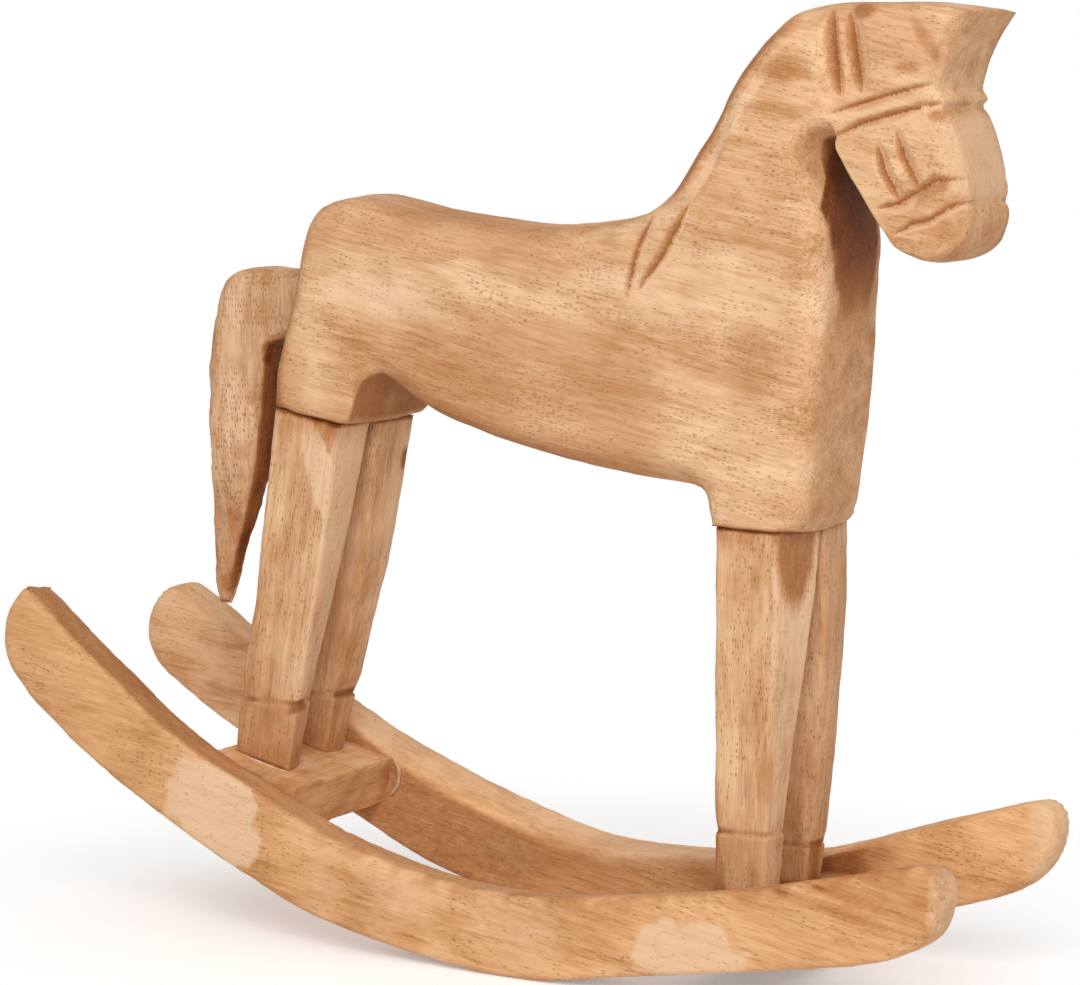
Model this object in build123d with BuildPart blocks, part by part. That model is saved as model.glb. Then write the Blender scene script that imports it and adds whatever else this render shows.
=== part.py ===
from build123d import *
import os
from math import asin, cos, degrees, hypot, radians, sin

# Hand-carved wooden rocking horse, an ornament for a shelf or a child's room.
# Lengths are millimetres and angles are degrees.
# The horse faces +X and stands at rest on the floor, which is Z = 0.

os.makedirs("parts", exist_ok=True)

# Rockers: two boards sawn to two tangent running arcs and rounded at their tips.
LENGTH = 394.0  # rear tip of the right rocker to front tip of the left one
TRACK = 86.5  # middle of one rocker to the middle of the other
REAR_RADIUS = 308.0  # running arc behind the resting contact
FRONT_RADIUS = 385.0  # running arc ahead of it
BALANCE_X = 27.8  # resting contact, below the centre of gravity
ROCKER_THICKNESS = 20.0
LEFT_LEAD = 4.2  # the left rocker's tips stand this far ahead of the right one's
RIGHT_REAR_DEPTH = 30.0
RIGHT_MIDDLE_DEPTH = 32.0
RIGHT_FRONT_DEPTH = 29.0
LEFT_REAR_DEPTH = 34.0
LEFT_MIDDLE_DEPTH = 30.0
LEFT_FRONT_DEPTH = 30.0
TIP_ROUND = 12.0
ROCKER_EDGE_ROUND = 2.0

# Crossbars: two short boards between the rockers, one under each pair of feet.
REAR_BAR_RISE = 31.2  # top of a bar above the running arc
FRONT_BAR_RISE = 22.5
BAR_THICKNESS = 18.0
BAR_DEPTH = 40.0
REAR_BAR_X = -94.2
FRONT_BAR_X = 102.5
REAR_BAR_TILT = 14.0
FRONT_BAR_TILT = -6.0
BAR_EDGE_ROUND = 1.2

# Legs: tapered square posts with a hoof cut at the foot.
REAR_LEG_LENGTH = 134.0
FRONT_LEG_LENGTH = 133.2
REAR_LEG_TILT = 10.4
FRONT_LEG_TILT = 3.3
REAR_FOOT_SHIFT = -5.0  # middle of a foot ahead of the middle of its bar
FRONT_FOOT_SHIFT = 1.7
REAR_LEG_TOP_DEPTH = 27.0
REAR_LEG_FOOT_DEPTH = 22.0
FRONT_LEG_TOP_DEPTH = 30.0
FRONT_LEG_FOOT_DEPTH = 18.5
LEG_TOP_WIDTH = 25.5
LEG_FOOT_WIDTH = 12.0
LEG_TOP_GAP = 1.0  # between the two legs of a pair, at the seam
LEG_FOOT_GAP = 21.0
LEG_EDGE_CUT = 2.2
HOOF_HEIGHT = 19.0
HOOF_PROUD = 0.8

# Body: torso, neck and head carved from one thick plank.
# A reach is ahead of, a back is behind, and a rise is above the middle of a leg's top seam.
BODY_WIDTH = 55.0
NECK_WIDTH = 48.0
HEAD_WIDTH = 45.0
REAR_THIGH_BACK = 14.0
REAR_THIGH_REACH = 20.0
FRONT_THIGH_BACK = 16.0
FRONT_THIGH_REACH = 16.0
# Over the rear legs.
RUMP_BACK = 4.0
RUMP_RISE = 66.0
CROUP_REACH = 16.0
CROUP_RISE = 81.0
LOIN_REACH = 44.0
LOIN_RISE = 77.0
GROIN_REACH = 30.0
GROIN_RISE = 10.0
FLANK_REACH = 50.0
FLANK_RISE = 7.0
# Over the front legs.
SADDLE_BACK = 79.0
SADDLE_RISE = 101.0
WITHERS_BACK = 40.0
WITHERS_RISE = 114.0
CREST_BACK = 13.0
CREST_RISE = 154.0
MANE_BACK = 2.0
MANE_RISE = 169.0
POLL_REACH = 26.0
POLL_RISE = 178.0
THROAT_REACH = 18.0
THROAT_RISE = 132.0
NECK_REACH = 24.0
NECK_RISE = 95.0
CHEST_REACH = 22.0
CHEST_RISE = 47.0
ELBOW_BACK = 28.0
ELBOW_RISE = 14.0
GIRTH_BACK = 76.0
GIRTH_RISE = 19.0
FORELOCK_REACH = 72.0
FORELOCK_RISE = 177.0
BROW_REACH = 60.0
BROW_RISE = 152.0
FACE_REACH = 68.0
FACE_RISE = 132.0
NOSE_REACH = 71.5
NOSE_RISE = 115.0
LIP_REACH = 71.0
LIP_RISE = 107.0
CHIN_REACH = 61.0
CHIN_RISE = 95.0
JAW_REACH = 45.0
JAW_RISE = 102.0
BODY_ROUND = 12.0
BELLY_ROUND = 7.0
MUZZLE_ROUND = 6.0
FORELOCK_ROUND = 2.5
FLANK_SCOOP = 22.0
FLANK_SCOOP_DEPTH = 6.0
FLANK_SCOOP_REACH = 34.0
THROAT_SCOOP = 20.0
THROAT_SCOOP_DEPTH = 8.0
THROAT_SCOOP_REACH = 21.0
THROAT_SCOOP_RISE = 117.0

# Tail: one carved piece, pegged into a flat on the rump.
TAIL_WIDTH = 19.0
TAIL_TIP_WIDTH = 9.0
TAIL_STUB_HEIGHT = 24.0
TAIL_SEAT_RISE = 39.0  # middle of the stub above the rear seam
TAIL_SEAT_BACK = 6.0  # flat behind the middle of the rear leg's top
TAIL_REACH = 51.0  # back of the tail behind that flat
TAIL_SLOPE = 2.0  # fall of the stub's top from the rump to the elbow
TAIL_DROP = 103.0  # tip of the tail below the stub
TAIL_THICKNESS = 25.0
TAIL_ELBOW = 17.0
TAIL_TIP = 7.0
TAIL_ROUND = 3.0

# Pegs, screws and filler plugs that hold and hide the joints.
LEG_DOWEL_DIAMETER = 10.0
LEG_DOWEL_DEPTH = 16.0  # in each of the two pieces, like the other dowels
FOOT_DOWEL_DIAMETER = 6.0
FOOT_DOWEL_DEPTH = 12.0
TAIL_DOWEL_DIAMETER = 8.0
TAIL_DOWEL_DEPTH = 12.0
DOWEL_BEVEL = 0.8
SCREW_SPACING = 24.0  # two screws at each end of a bar
SCREW_SHANK = 4.0
SCREW_HEAD = 8.4
SCREW_HEAD_HEIGHT = 3.0
SCREW_GRIP = 26.0  # length inside the bar
SCREW_POINT = 5.0
PLUG_DIAMETER = 10.0
PLUG_DEPTH = 4.0
FIT = 0.1  # clearance round a peg, screw or plug
END_ROOM = 0.5  # glue room past the end of a peg or screw

SIDES = {"right": -1, "left": 1}


def on_arc(rise, angle):
    """Point at a height above the running arcs, at an angle from the resting contact."""
    radius = FRONT_RADIUS if angle > 0 else REAR_RADIUS
    reach = radius - rise
    angle = radians(angle)
    return Vector(BALANCE_X + reach * sin(angle), 0, radius - reach * cos(angle))


def arc_angle(x, rise):
    """Angle from the resting contact of the point at a height above the running arcs."""
    radius = FRONT_RADIUS if x > BALANCE_X else REAR_RADIUS
    return degrees(asin((x - BALANCE_X) / (radius - rise)))


def tilted(origin, lean):
    """Plane at a point whose normal leans forward from upright, with X along the horse."""
    lean = radians(lean)
    return Plane(origin, x_dir=(cos(lean), 0, -sin(lean)), z_dir=(sin(lean), 0, cos(lean)))


def across(plane, y):
    """The same plane with its origin moved sideways across the horse."""
    return plane.shift_origin(plane.origin + Vector(0, y, 0))


def beside(point, forward, up):
    """Point of a side outline, forward of and above another one."""
    return (point.X + forward, point.Z + up)


def side_edges(piece, *curves):
    """The edges, one on each side of a piece, that follow curves of its side outline."""

    def away(edge, middle):
        point = edge @ 0.5
        return hypot(point.X - middle.X, point.Z - middle.Y)

    found = ShapeList()
    for curve in curves:
        found += piece.edges().sort_by(lambda edge: away(edge, curve @ 0.5))[:2]
    return found


def save(piece, label):
    """Label a finished piece and write it to its own file."""
    piece.label = label
    export_step(piece, f"parts/{label}.step")


rear_bar = tilted(on_arc(REAR_BAR_RISE, arc_angle(REAR_BAR_X, REAR_BAR_RISE)), REAR_BAR_TILT)
front_bar = tilted(on_arc(FRONT_BAR_RISE, arc_angle(FRONT_BAR_X, FRONT_BAR_RISE)), FRONT_BAR_TILT)
rear_foot = tilted(rear_bar.from_local_coords((REAR_FOOT_SHIFT, 0, 0)), REAR_LEG_TILT)
front_foot = tilted(front_bar.from_local_coords((FRONT_FOOT_SHIFT, 0, 0)), FRONT_LEG_TILT)
rear_seam = rear_foot.offset(REAR_LEG_LENGTH)
front_seam = front_foot.offset(FRONT_LEG_LENGTH)
hip = rear_seam.origin
shoulder = front_seam.origin
rear_thigh_heel = rear_seam.from_local_coords((-REAR_THIGH_BACK, 0, 0))
rear_thigh_toe = rear_seam.from_local_coords((REAR_THIGH_REACH, 0, 0))
front_thigh_heel = front_seam.from_local_coords((-FRONT_THIGH_BACK, 0, 0))
front_thigh_toe = front_seam.from_local_coords((FRONT_THIGH_REACH, 0, 0))
leg_top_y = (LEG_TOP_GAP + LEG_TOP_WIDTH) / 2
leg_foot_y = (LEG_FOOT_GAP + LEG_FOOT_WIDTH) / 2
bar_length = TRACK - ROCKER_THICKNESS
rocker_outer_y = (TRACK + ROCKER_THICKNESS) / 2
thigh_drop = hip.Z - rear_thigh_toe.Z
half_stub = TAIL_STUB_HEIGHT / 2
tail_seat = Plane((hip.X - TAIL_SEAT_BACK, 0, hip.Z + TAIL_SEAT_RISE), x_dir=(0, 1, 0), z_dir=(-1, 0, 0))
screw_spots = {"a": -SCREW_SPACING / 2, "b": SCREW_SPACING / 2}
counterbore_depth = PLUG_DEPTH + SCREW_HEAD_HEIGHT


def peg_hole(plane, diameter, depth):
    """Cut a blind hole for a peg or screw into the open piece, against a plane's normal."""
    with Locations(plane.offset(END_ROOM)):
        Hole(diameter / 2 + FIT, depth + 2 * END_ROOM)


# Body. The side outline is sawn from the plank, the flanks are thinned towards the poll,
# the long edges are rounded over, and the head keeps its crisp sawn edges.
with BuildPart() as body:
    with BuildSketch(Plane.XZ.offset(-BODY_WIDTH)):
        with BuildLine():
            topline = Spline(
                beside(rear_thigh_heel, 0, 0),
                beside(rear_thigh_heel, 0, TAIL_SEAT_RISE - half_stub),
                beside(hip, -RUMP_BACK, RUMP_RISE),
                beside(hip, CROUP_REACH, CROUP_RISE),
                beside(hip, LOIN_REACH, LOIN_RISE),
                beside(shoulder, -SADDLE_BACK, SADDLE_RISE),
                beside(shoulder, -WITHERS_BACK, WITHERS_RISE),
                beside(shoulder, -CREST_BACK, CREST_RISE),
                beside(shoulder, -MANE_BACK, MANE_RISE),
                beside(shoulder, POLL_REACH, POLL_RISE),
            )
            nape = Line(topline @ 1, beside(shoulder, THROAT_REACH, THROAT_RISE))
            chest = Spline(
                nape @ 1,
                beside(shoulder, NECK_REACH, NECK_RISE),
                beside(shoulder, CHEST_REACH, CHEST_RISE),
                beside(front_thigh_toe, 0, 0),
            )
            front_cut = Line(chest @ 1, beside(front_thigh_heel, 0, 0))
            stifle = Spline(
                front_cut @ 1,
                beside(shoulder, -(FRONT_THIGH_BACK + ELBOW_BACK) / 2, 0.8 * ELBOW_RISE),
                beside(shoulder, -ELBOW_BACK, ELBOW_RISE),
            )
            belly = Spline(
                stifle @ 1,
                beside(shoulder, -GIRTH_BACK, GIRTH_RISE),
                beside(hip, FLANK_REACH, FLANK_RISE - thigh_drop),
                beside(hip, GROIN_REACH, GROIN_RISE - thigh_drop),
                tangents=(stifle % 1, (-1, -0.1)),
            )
            flank = Line(belly @ 1, beside(rear_thigh_toe, 0, 0))
            Line(flank @ 1, topline @ 0)
        make_face()
    extrude(amount=2 * BODY_WIDTH)
    with BuildSketch(Plane.YZ.offset(-LENGTH / 2)):
        with BuildLine():
            side = Spline(
                (BODY_WIDTH / 2, shoulder.Z - FRONT_LEG_LENGTH / 2),
                (NECK_WIDTH / 2, shoulder.Z + POLL_RISE + FRONT_LEG_LENGTH / 2),
                tangents=((0, 1), (0, 1)),
            )
            mirror(about=Plane.YZ)
            Line(side @ 0, (-(side @ 0).X, (side @ 0).Y))
            Line(side @ 1, (-(side @ 1).X, (side @ 1).Y))
        make_face()
    extrude(amount=LENGTH, mode=Mode.INTERSECT)
    fillet(side_edges(body, topline, chest), BODY_ROUND)
    fillet(side_edges(body, belly), BELLY_ROUND)
    throat_y = NECK_WIDTH / 2 + THROAT_SCOOP - THROAT_SCOOP_DEPTH
    throat_x, throat_z = beside(shoulder, THROAT_SCOOP_REACH, THROAT_SCOOP_RISE)
    with Locations(*[(throat_x, way * throat_y, throat_z) for way in SIDES.values()]):
        Sphere(THROAT_SCOOP, mode=Mode.SUBTRACT)
    with BuildSketch(Plane.XZ.offset(-HEAD_WIDTH / 2)):
        with BuildLine():
            forelock = Line(nape @ 0, beside(shoulder, FORELOCK_REACH, FORELOCK_RISE))
            brow = Line(forelock @ 1, beside(shoulder, BROW_REACH, BROW_RISE))
            face = Spline(
                brow @ 1,
                beside(shoulder, FACE_REACH, FACE_RISE),
                beside(shoulder, NOSE_REACH, NOSE_RISE),
                beside(shoulder, LIP_REACH, LIP_RISE),
            )
            chin = Spline(
                face @ 1,
                beside(shoulder, CHIN_REACH, CHIN_RISE),
                beside(shoulder, JAW_REACH, JAW_RISE),
                tangents=((-0.1, -1), (-0.8, 1)),
            )
            jaw = Line(chin @ 1, nape @ 1)
            Line(nape @ 1, nape @ 0)
        make_face()
    extrude(amount=HEAD_WIDTH)
    fillet(side_edges(body, face, chin, jaw), MUZZLE_ROUND)
    fillet(side_edges(body, forelock), FORELOCK_ROUND)
    flank_y = BODY_WIDTH / 2 + FLANK_SCOOP - FLANK_SCOOP_DEPTH
    flank_x, flank_z = beside(hip, FLANK_SCOOP_REACH, -thigh_drop)
    with Locations(*[(flank_x, way * flank_y, flank_z) for way in SIDES.values()]):
        Sphere(FLANK_SCOOP, mode=Mode.SUBTRACT)
    peg_hole(tail_seat, TAIL_DOWEL_DIAMETER, TAIL_DOWEL_DEPTH)
    with BuildSketch(tail_seat):
        Rectangle(TAIL_WIDTH + 2 * FIT, TAIL_STUB_HEIGHT + 2 * FIT)
    extrude(amount=TAIL_REACH, mode=Mode.SUBTRACT)
    for way in SIDES.values():
        for seam in (rear_seam, front_seam):
            peg_hole(-across(seam, way * leg_top_y), LEG_DOWEL_DIAMETER, LEG_DOWEL_DEPTH)
save(body.part, "body")

# Tail. A stub stands out from the rump, bends at an elbow and hangs down to a point.
with BuildPart() as tail:
    seat = tail_seat.origin
    with BuildSketch(Plane.XZ.offset(-TAIL_WIDTH / 2)):
        with BuildLine():
            stub_top = Line(
                beside(seat, 0, half_stub),
                beside(seat, TAIL_ELBOW - TAIL_REACH, half_stub - TAIL_SLOPE),
            )
            elbow = TangentArc(
                stub_top @ 1,
                beside(seat, -TAIL_REACH, half_stub - TAIL_SLOPE - TAIL_ELBOW),
                tangent=stub_top % 1,
            )
            back = Line(elbow @ 1, beside(seat, -TAIL_REACH, -half_stub - TAIL_DROP))
            tip = Line(back @ 1, beside(seat, TAIL_TIP - TAIL_REACH, -half_stub - TAIL_DROP))
            inner = Spline(
                tip @ 1,
                beside(seat, 0.6 * TAIL_THICKNESS - TAIL_REACH, -half_stub - 0.6 * TAIL_DROP),
                beside(seat, 0.93 * TAIL_THICKNESS - TAIL_REACH, -half_stub - 0.25 * TAIL_DROP),
                beside(seat, TAIL_THICKNESS - TAIL_REACH, -half_stub),
            )
            stub_under = Line(inner @ 1, beside(seat, 0, -half_stub))
            Line(stub_under @ 1, stub_top @ 0)
        make_face()
    extrude(amount=TAIL_WIDTH)
    with BuildSketch(Plane.YZ.offset(-LENGTH / 2)):
        with BuildLine():
            high = seat.Z + half_stub
            low = seat.Z - half_stub - TAIL_DROP
            Polyline(
                (TAIL_WIDTH / 2, high),
                (-TAIL_WIDTH / 2, high),
                (-TAIL_TIP_WIDTH / 2, low),
                (TAIL_TIP_WIDTH / 2, low),
                close=True,
            )
        make_face()
    extrude(amount=LENGTH, mode=Mode.INTERSECT)
    fillet(side_edges(tail, stub_top, elbow, back), TAIL_ROUND)
    fillet(side_edges(tail, inner, stub_under), TAIL_ROUND)
    peg_hole(-tail_seat, TAIL_DOWEL_DIAMETER, TAIL_DOWEL_DEPTH)
save(tail.part, "tail")


def side_point(rise, angle):
    """Point of a rocker's side outline."""
    return beside(on_arc(rise, angle), 0, 0)


def tip_round(depth):
    """Corner radius of a rocker's tip, less where the tip is too slim for it."""
    return min(TIP_ROUND, 0.45 * depth)


def tip_angle(x, depth):
    """Angle of a square-cut tip that reaches a place along the horse once it is rounded."""
    round_off = tip_round(depth)
    radius = (FRONT_RADIUS if x > BALANCE_X else REAR_RADIUS) - round_off
    turn = asin((abs(x - BALANCE_X) - round_off) / radius) + asin(round_off / radius)
    return degrees(turn) if x > BALANCE_X else -degrees(turn)


def screw_plane(bar, way, spot):
    """Plane on a rocker's outer face, facing outwards, where a screw enters for a bar."""
    entry = bar.from_local_coords((spot, 0, -BAR_THICKNESS / 2))
    return Plane((entry.X, way * rocker_outer_y, entry.Z), x_dir=(1, 0, 0), z_dir=(0, way, 0))


def rocker(label, way, lead, rear_depth, middle_depth, front_depth):
    """One rocker, with counterbored holes for the screws into the bars."""
    rear = tip_angle(-LENGTH / 2 + max(lead, 0), rear_depth)
    front = tip_angle(LENGTH / 2 + min(lead, 0), front_depth)
    with BuildPart() as board:
        with BuildSketch(Plane.XZ.offset(-way * TRACK / 2 - ROCKER_THICKNESS / 2)) as outline:
            with BuildLine():
                rear_run = ThreePointArc(*[side_point(0, turn) for turn in (rear, rear / 2, 0)])
                front_run = ThreePointArc(*[side_point(0, turn) for turn in (0, front / 2, front)])
                top = ThreePointArc(
                    side_point(front_depth, front),
                    side_point(middle_depth, 0),
                    side_point(rear_depth, rear),
                )
                Line(front_run @ 1, top @ 0)
                Line(top @ 1, rear_run @ 0)
            make_face()
            fillet(outline.vertices().sort_by(Axis.X)[:2], tip_round(rear_depth))
            fillet(outline.vertices().sort_by(Axis.X)[-2:], tip_round(front_depth))
        extrude(amount=ROCKER_THICKNESS)
        faces = board.faces().sort_by(Axis.Y)
        fillet(faces[0].edges() + faces[-1].edges(), ROCKER_EDGE_ROUND)
        for bar in (rear_bar, front_bar):
            for spot in screw_spots.values():
                with Locations(screw_plane(bar, way, spot)):
                    CounterBoreHole(SCREW_SHANK / 2 + FIT, PLUG_DIAMETER / 2 + FIT, counterbore_depth)
    save(board.part, label)


# Rockers. The left one sits a little further forward than the right one.
rocker("rocker_right", SIDES["right"], -LEFT_LEAD, RIGHT_REAR_DEPTH, RIGHT_MIDDLE_DEPTH, RIGHT_FRONT_DEPTH)
rocker("rocker_left", SIDES["left"], LEFT_LEAD, LEFT_REAR_DEPTH, LEFT_MIDDLE_DEPTH, LEFT_FRONT_DEPTH)

# Crossbars. Each one carries two feet and is screwed through both rockers.
for label, bar, foot in (("crossbar_rear", rear_bar, rear_foot), ("crossbar_front", front_bar, front_foot)):
    with BuildPart() as crossbar:
        with BuildSketch(bar):
            Rectangle(BAR_DEPTH, bar_length)
        extrude(amount=-BAR_THICKNESS)
        fillet(crossbar.edges().filter_by(Axis.Y), BAR_EDGE_ROUND)
        for way in SIDES.values():
            peg_hole(across(foot, way * leg_foot_y), FOOT_DOWEL_DIAMETER, FOOT_DOWEL_DEPTH)
            for spot in screw_spots.values():
                end = screw_plane(bar, way, spot).offset(-ROCKER_THICKNESS)
                peg_hole(end, SCREW_SHANK, SCREW_GRIP)
    save(crossbar.part, label)


def leg(label, way, bar, foot, seam, top_depth, foot_depth):
    """One leg, a post that tapers to a proud hoof cut to the slope of its bar."""
    hoof_top = foot.offset(HOOF_HEIGHT)
    with BuildPart() as post:
        with BuildSketch(across(hoof_top, way * leg_foot_y)):
            Rectangle(foot_depth, LEG_FOOT_WIDTH)
        with BuildSketch(across(seam, way * leg_top_y)):
            Rectangle(top_depth, LEG_TOP_WIDTH)
        loft()
        chamfer(post.edges().sort_by(SortBy.LENGTH)[-4:], LEG_EDGE_CUT)
        with BuildSketch(across(hoof_top, way * leg_foot_y)):
            Rectangle(foot_depth + 2 * HOOF_PROUD, LEG_FOOT_WIDTH + 2 * HOOF_PROUD)
        extrude(amount=-2 * HOOF_HEIGHT)
        split(bisect_by=bar, keep=Keep.TOP)
        peg_hole(across(seam, way * leg_top_y), LEG_DOWEL_DIAMETER, LEG_DOWEL_DEPTH)
        peg_hole(-across(foot, way * leg_foot_y), FOOT_DOWEL_DIAMETER, FOOT_DOWEL_DEPTH)
    save(post.part, label)


def dowel(label, plane, diameter, depth):
    """A round peg, half on each side of a plane, with bevelled ends."""
    with BuildPart() as peg:
        with BuildSketch(plane.offset(-depth)):
            Circle(diameter / 2)
        extrude(amount=2 * depth)
        chamfer(peg.edges(), DOWEL_BEVEL)
    save(peg.part, label)


# Legs, with the pegs at their tops and feet.
rear_posts = ("rear", rear_bar, rear_foot, rear_seam, REAR_LEG_TOP_DEPTH, REAR_LEG_FOOT_DEPTH)
front_posts = ("front", front_bar, front_foot, front_seam, FRONT_LEG_TOP_DEPTH, FRONT_LEG_FOOT_DEPTH)
for end_name, bar, foot, seam, top_depth, foot_depth in (rear_posts, front_posts):
    for side_name, way in SIDES.items():
        leg(f"leg_{end_name}_{side_name}", way, bar, foot, seam, top_depth, foot_depth)
        leg_axis = across(seam, way * leg_top_y)
        foot_axis = across(foot, way * leg_foot_y)
        dowel(f"leg_dowel_{end_name}_{side_name}", leg_axis, LEG_DOWEL_DIAMETER, LEG_DOWEL_DEPTH)
        dowel(f"foot_dowel_{end_name}_{side_name}", foot_axis, FOOT_DOWEL_DIAMETER, FOOT_DOWEL_DEPTH)
dowel("tail_dowel", tail_seat, TAIL_DOWEL_DIAMETER, TAIL_DOWEL_DEPTH)

# Screws through the rockers into the bars, and the wood-filler plugs over their heads.
for end_name, bar in (("rear", rear_bar), ("front", front_bar)):
    for side_name, way in SIDES.items():
        for mark, spot in screw_spots.items():
            face_plane = screw_plane(bar, way, spot)
            with BuildPart() as screw:
                head_top = face_plane.offset(-PLUG_DEPTH)
                with BuildSketch(head_top):
                    Circle(SCREW_HEAD / 2)
                extrude(amount=-SCREW_HEAD_HEIGHT)
                with BuildSketch(head_top):
                    Circle(SCREW_SHANK / 2)
                extrude(amount=-(ROCKER_THICKNESS + SCREW_GRIP - PLUG_DEPTH))
                point = screw.edges().sort_by(Axis((0, 0, 0), (0, -way, 0)))[-1]
                chamfer(point, SCREW_POINT, 0.45 * SCREW_SHANK)
            save(screw.part, f"screw_{end_name}_{side_name}_{mark}")
            with BuildPart() as plug:
                with BuildSketch(face_plane):
                    Circle(PLUG_DIAMETER / 2)
                extrude(amount=-PLUG_DEPTH)
            save(plug.part, f"filler_plug_{end_name}_{side_name}_{mark}")
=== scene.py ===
from functools import partial
from math import cos, pi, radians, sin
import bpy
import numpy as np
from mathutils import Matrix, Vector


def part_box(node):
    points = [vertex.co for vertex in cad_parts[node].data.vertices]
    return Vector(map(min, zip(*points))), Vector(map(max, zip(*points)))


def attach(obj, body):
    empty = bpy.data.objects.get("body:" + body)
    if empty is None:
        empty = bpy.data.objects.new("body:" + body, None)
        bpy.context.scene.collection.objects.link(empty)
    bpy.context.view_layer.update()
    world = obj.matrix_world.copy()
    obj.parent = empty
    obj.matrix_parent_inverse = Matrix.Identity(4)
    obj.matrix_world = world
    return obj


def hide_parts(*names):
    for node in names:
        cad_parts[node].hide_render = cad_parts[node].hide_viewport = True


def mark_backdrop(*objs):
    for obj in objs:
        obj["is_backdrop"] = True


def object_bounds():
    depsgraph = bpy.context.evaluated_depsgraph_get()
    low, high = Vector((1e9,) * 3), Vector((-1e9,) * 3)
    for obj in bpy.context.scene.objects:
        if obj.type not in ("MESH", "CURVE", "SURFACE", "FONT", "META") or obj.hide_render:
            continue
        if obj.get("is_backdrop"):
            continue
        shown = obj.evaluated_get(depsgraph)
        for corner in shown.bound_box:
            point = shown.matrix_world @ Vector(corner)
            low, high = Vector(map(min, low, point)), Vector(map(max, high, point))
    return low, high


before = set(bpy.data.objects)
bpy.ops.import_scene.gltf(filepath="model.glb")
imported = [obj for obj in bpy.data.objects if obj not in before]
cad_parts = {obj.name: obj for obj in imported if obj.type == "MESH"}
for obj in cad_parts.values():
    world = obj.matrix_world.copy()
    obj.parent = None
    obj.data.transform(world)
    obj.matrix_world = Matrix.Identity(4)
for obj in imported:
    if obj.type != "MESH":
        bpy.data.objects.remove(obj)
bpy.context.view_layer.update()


# Rockers: two boards of raw hardwood, band-sawn to a long curve and left rough from saw, gouge
# and rasp. Each one is screwed from outside into the ends of both crossbars, and the screw
# holes were filled and sanded pale.
DRAWN_FROM, LINE_STEPS = 5.5, 24
ROCKER_IN, ROCKER_OUT, ROCKER_DEEP = 33.25, 53.25, 33
ROCKER_EDGE, TIP_EDGE, RASP_DEEP, GOUGE_DEEP, TORN_DEEP = 2.6, 1.6, 0.15, 0.35, 0.7
# The far rocker's light tone is paler than the near one's: painted light, making up for the shade it stands
# in.
NEAR_LIGHT, FAR_LIGHT, ROCKER_DARK = (0.85, 0.49, 0.24), (0.94, 0.545, 0.265), (0.50, 0.22, 0.075)
# The pale colour below is also used for painted light, and the dark stain colour, with amber on the way to
# it, for painted shade as well as for real stains.
PORE, SANDED_AND_LIT_COLOUR = (0.30, 0.12, 0.042), (0.83, 0.56, 0.35)
AMBER, STAIN_AND_SHADE_COLOUR = (0.46, 0.185, 0.058), (0.165, 0.045, 0.012)
ROCKER_GRAIN = (0, radians(-9), 0)
REAR_PATCH, FRONT_PATCH = (-103, 48, 22, 21, 0.3), (97, 15, 23, 17, 0.0)
PATCH_END, PATCH_RAGGED = -82, 17


def curve(*points):
    """Smooth curve through points as a dense line: between two points it is the cubic whose
    slope at each of them is half the step from the point before to the point after."""
    p = np.array(points, float)
    p = np.vstack([2 * p[0] - p[1], p, 2 * p[-1] - p[-2]])
    a, b, c, d = p[:-3], p[1:-2], p[2:-1], p[3:]
    t = np.linspace(0, 1, LINE_STEPS, endpoint=False)[:, None, None]
    line = 2 * b + (c - a) * t + (2 * a - 5 * b + 4 * c - d) * t**2 + (3 * (b - c) - a + d) * t**3
    return np.vstack([line.transpose(1, 0, 2).reshape(-1, 2) / 2, p[-2]])


def lengths(line):
    """Distance along a line from its start to each of its points."""
    return np.r_[0, np.cumsum(np.linalg.norm(np.diff(line, axis=0), axis=1))]


def walk(line, at):
    """Points of a line at distances along it."""
    s = lengths(line)
    return np.c_[np.interp(at, s, line[:, 0]), np.interp(at, s, line[:, 1])]


def ramp(value, start, stop):
    """Smooth rise from 0 at start to 1 at stop."""
    t = np.clip((value - start) / (stop - start), 0, 1)
    return t * t * (3 - 2 * t)


def reach(line, x, z):
    """Nearest stretch of a line to places (x, z): how far off it is, how far along it that is, and
    on which hand a place lies, 1 to the left of the line's heading and -1 to the right."""
    p, s = np.stack([x.ravel(), z.ravel()], 1), lengths(line)
    off, along, hand = np.full(len(p), 1e9), np.zeros(len(p)), np.ones(len(p))
    for a, b, start in zip(line[:-1], line[1:], s[:-1]):
        step = b - a
        span = max(np.hypot(*step), 1e-9)
        t = np.clip(((p - a) @ step) / span**2, 0, 1)
        away = np.hypot(*(p - a - t[:, None] * step).T)
        turn = np.sign(step[0] * (p[:, 1] - a[1]) - step[1] * (p[:, 0] - a[0]))
        near = away < off
        off, along = np.where(near, away, off), np.where(near, start + t * span, along)
        hand = np.where(near, turn, hand)
    return off.reshape(x.shape), along.reshape(x.shape), hand.reshape(x.shape)


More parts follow.
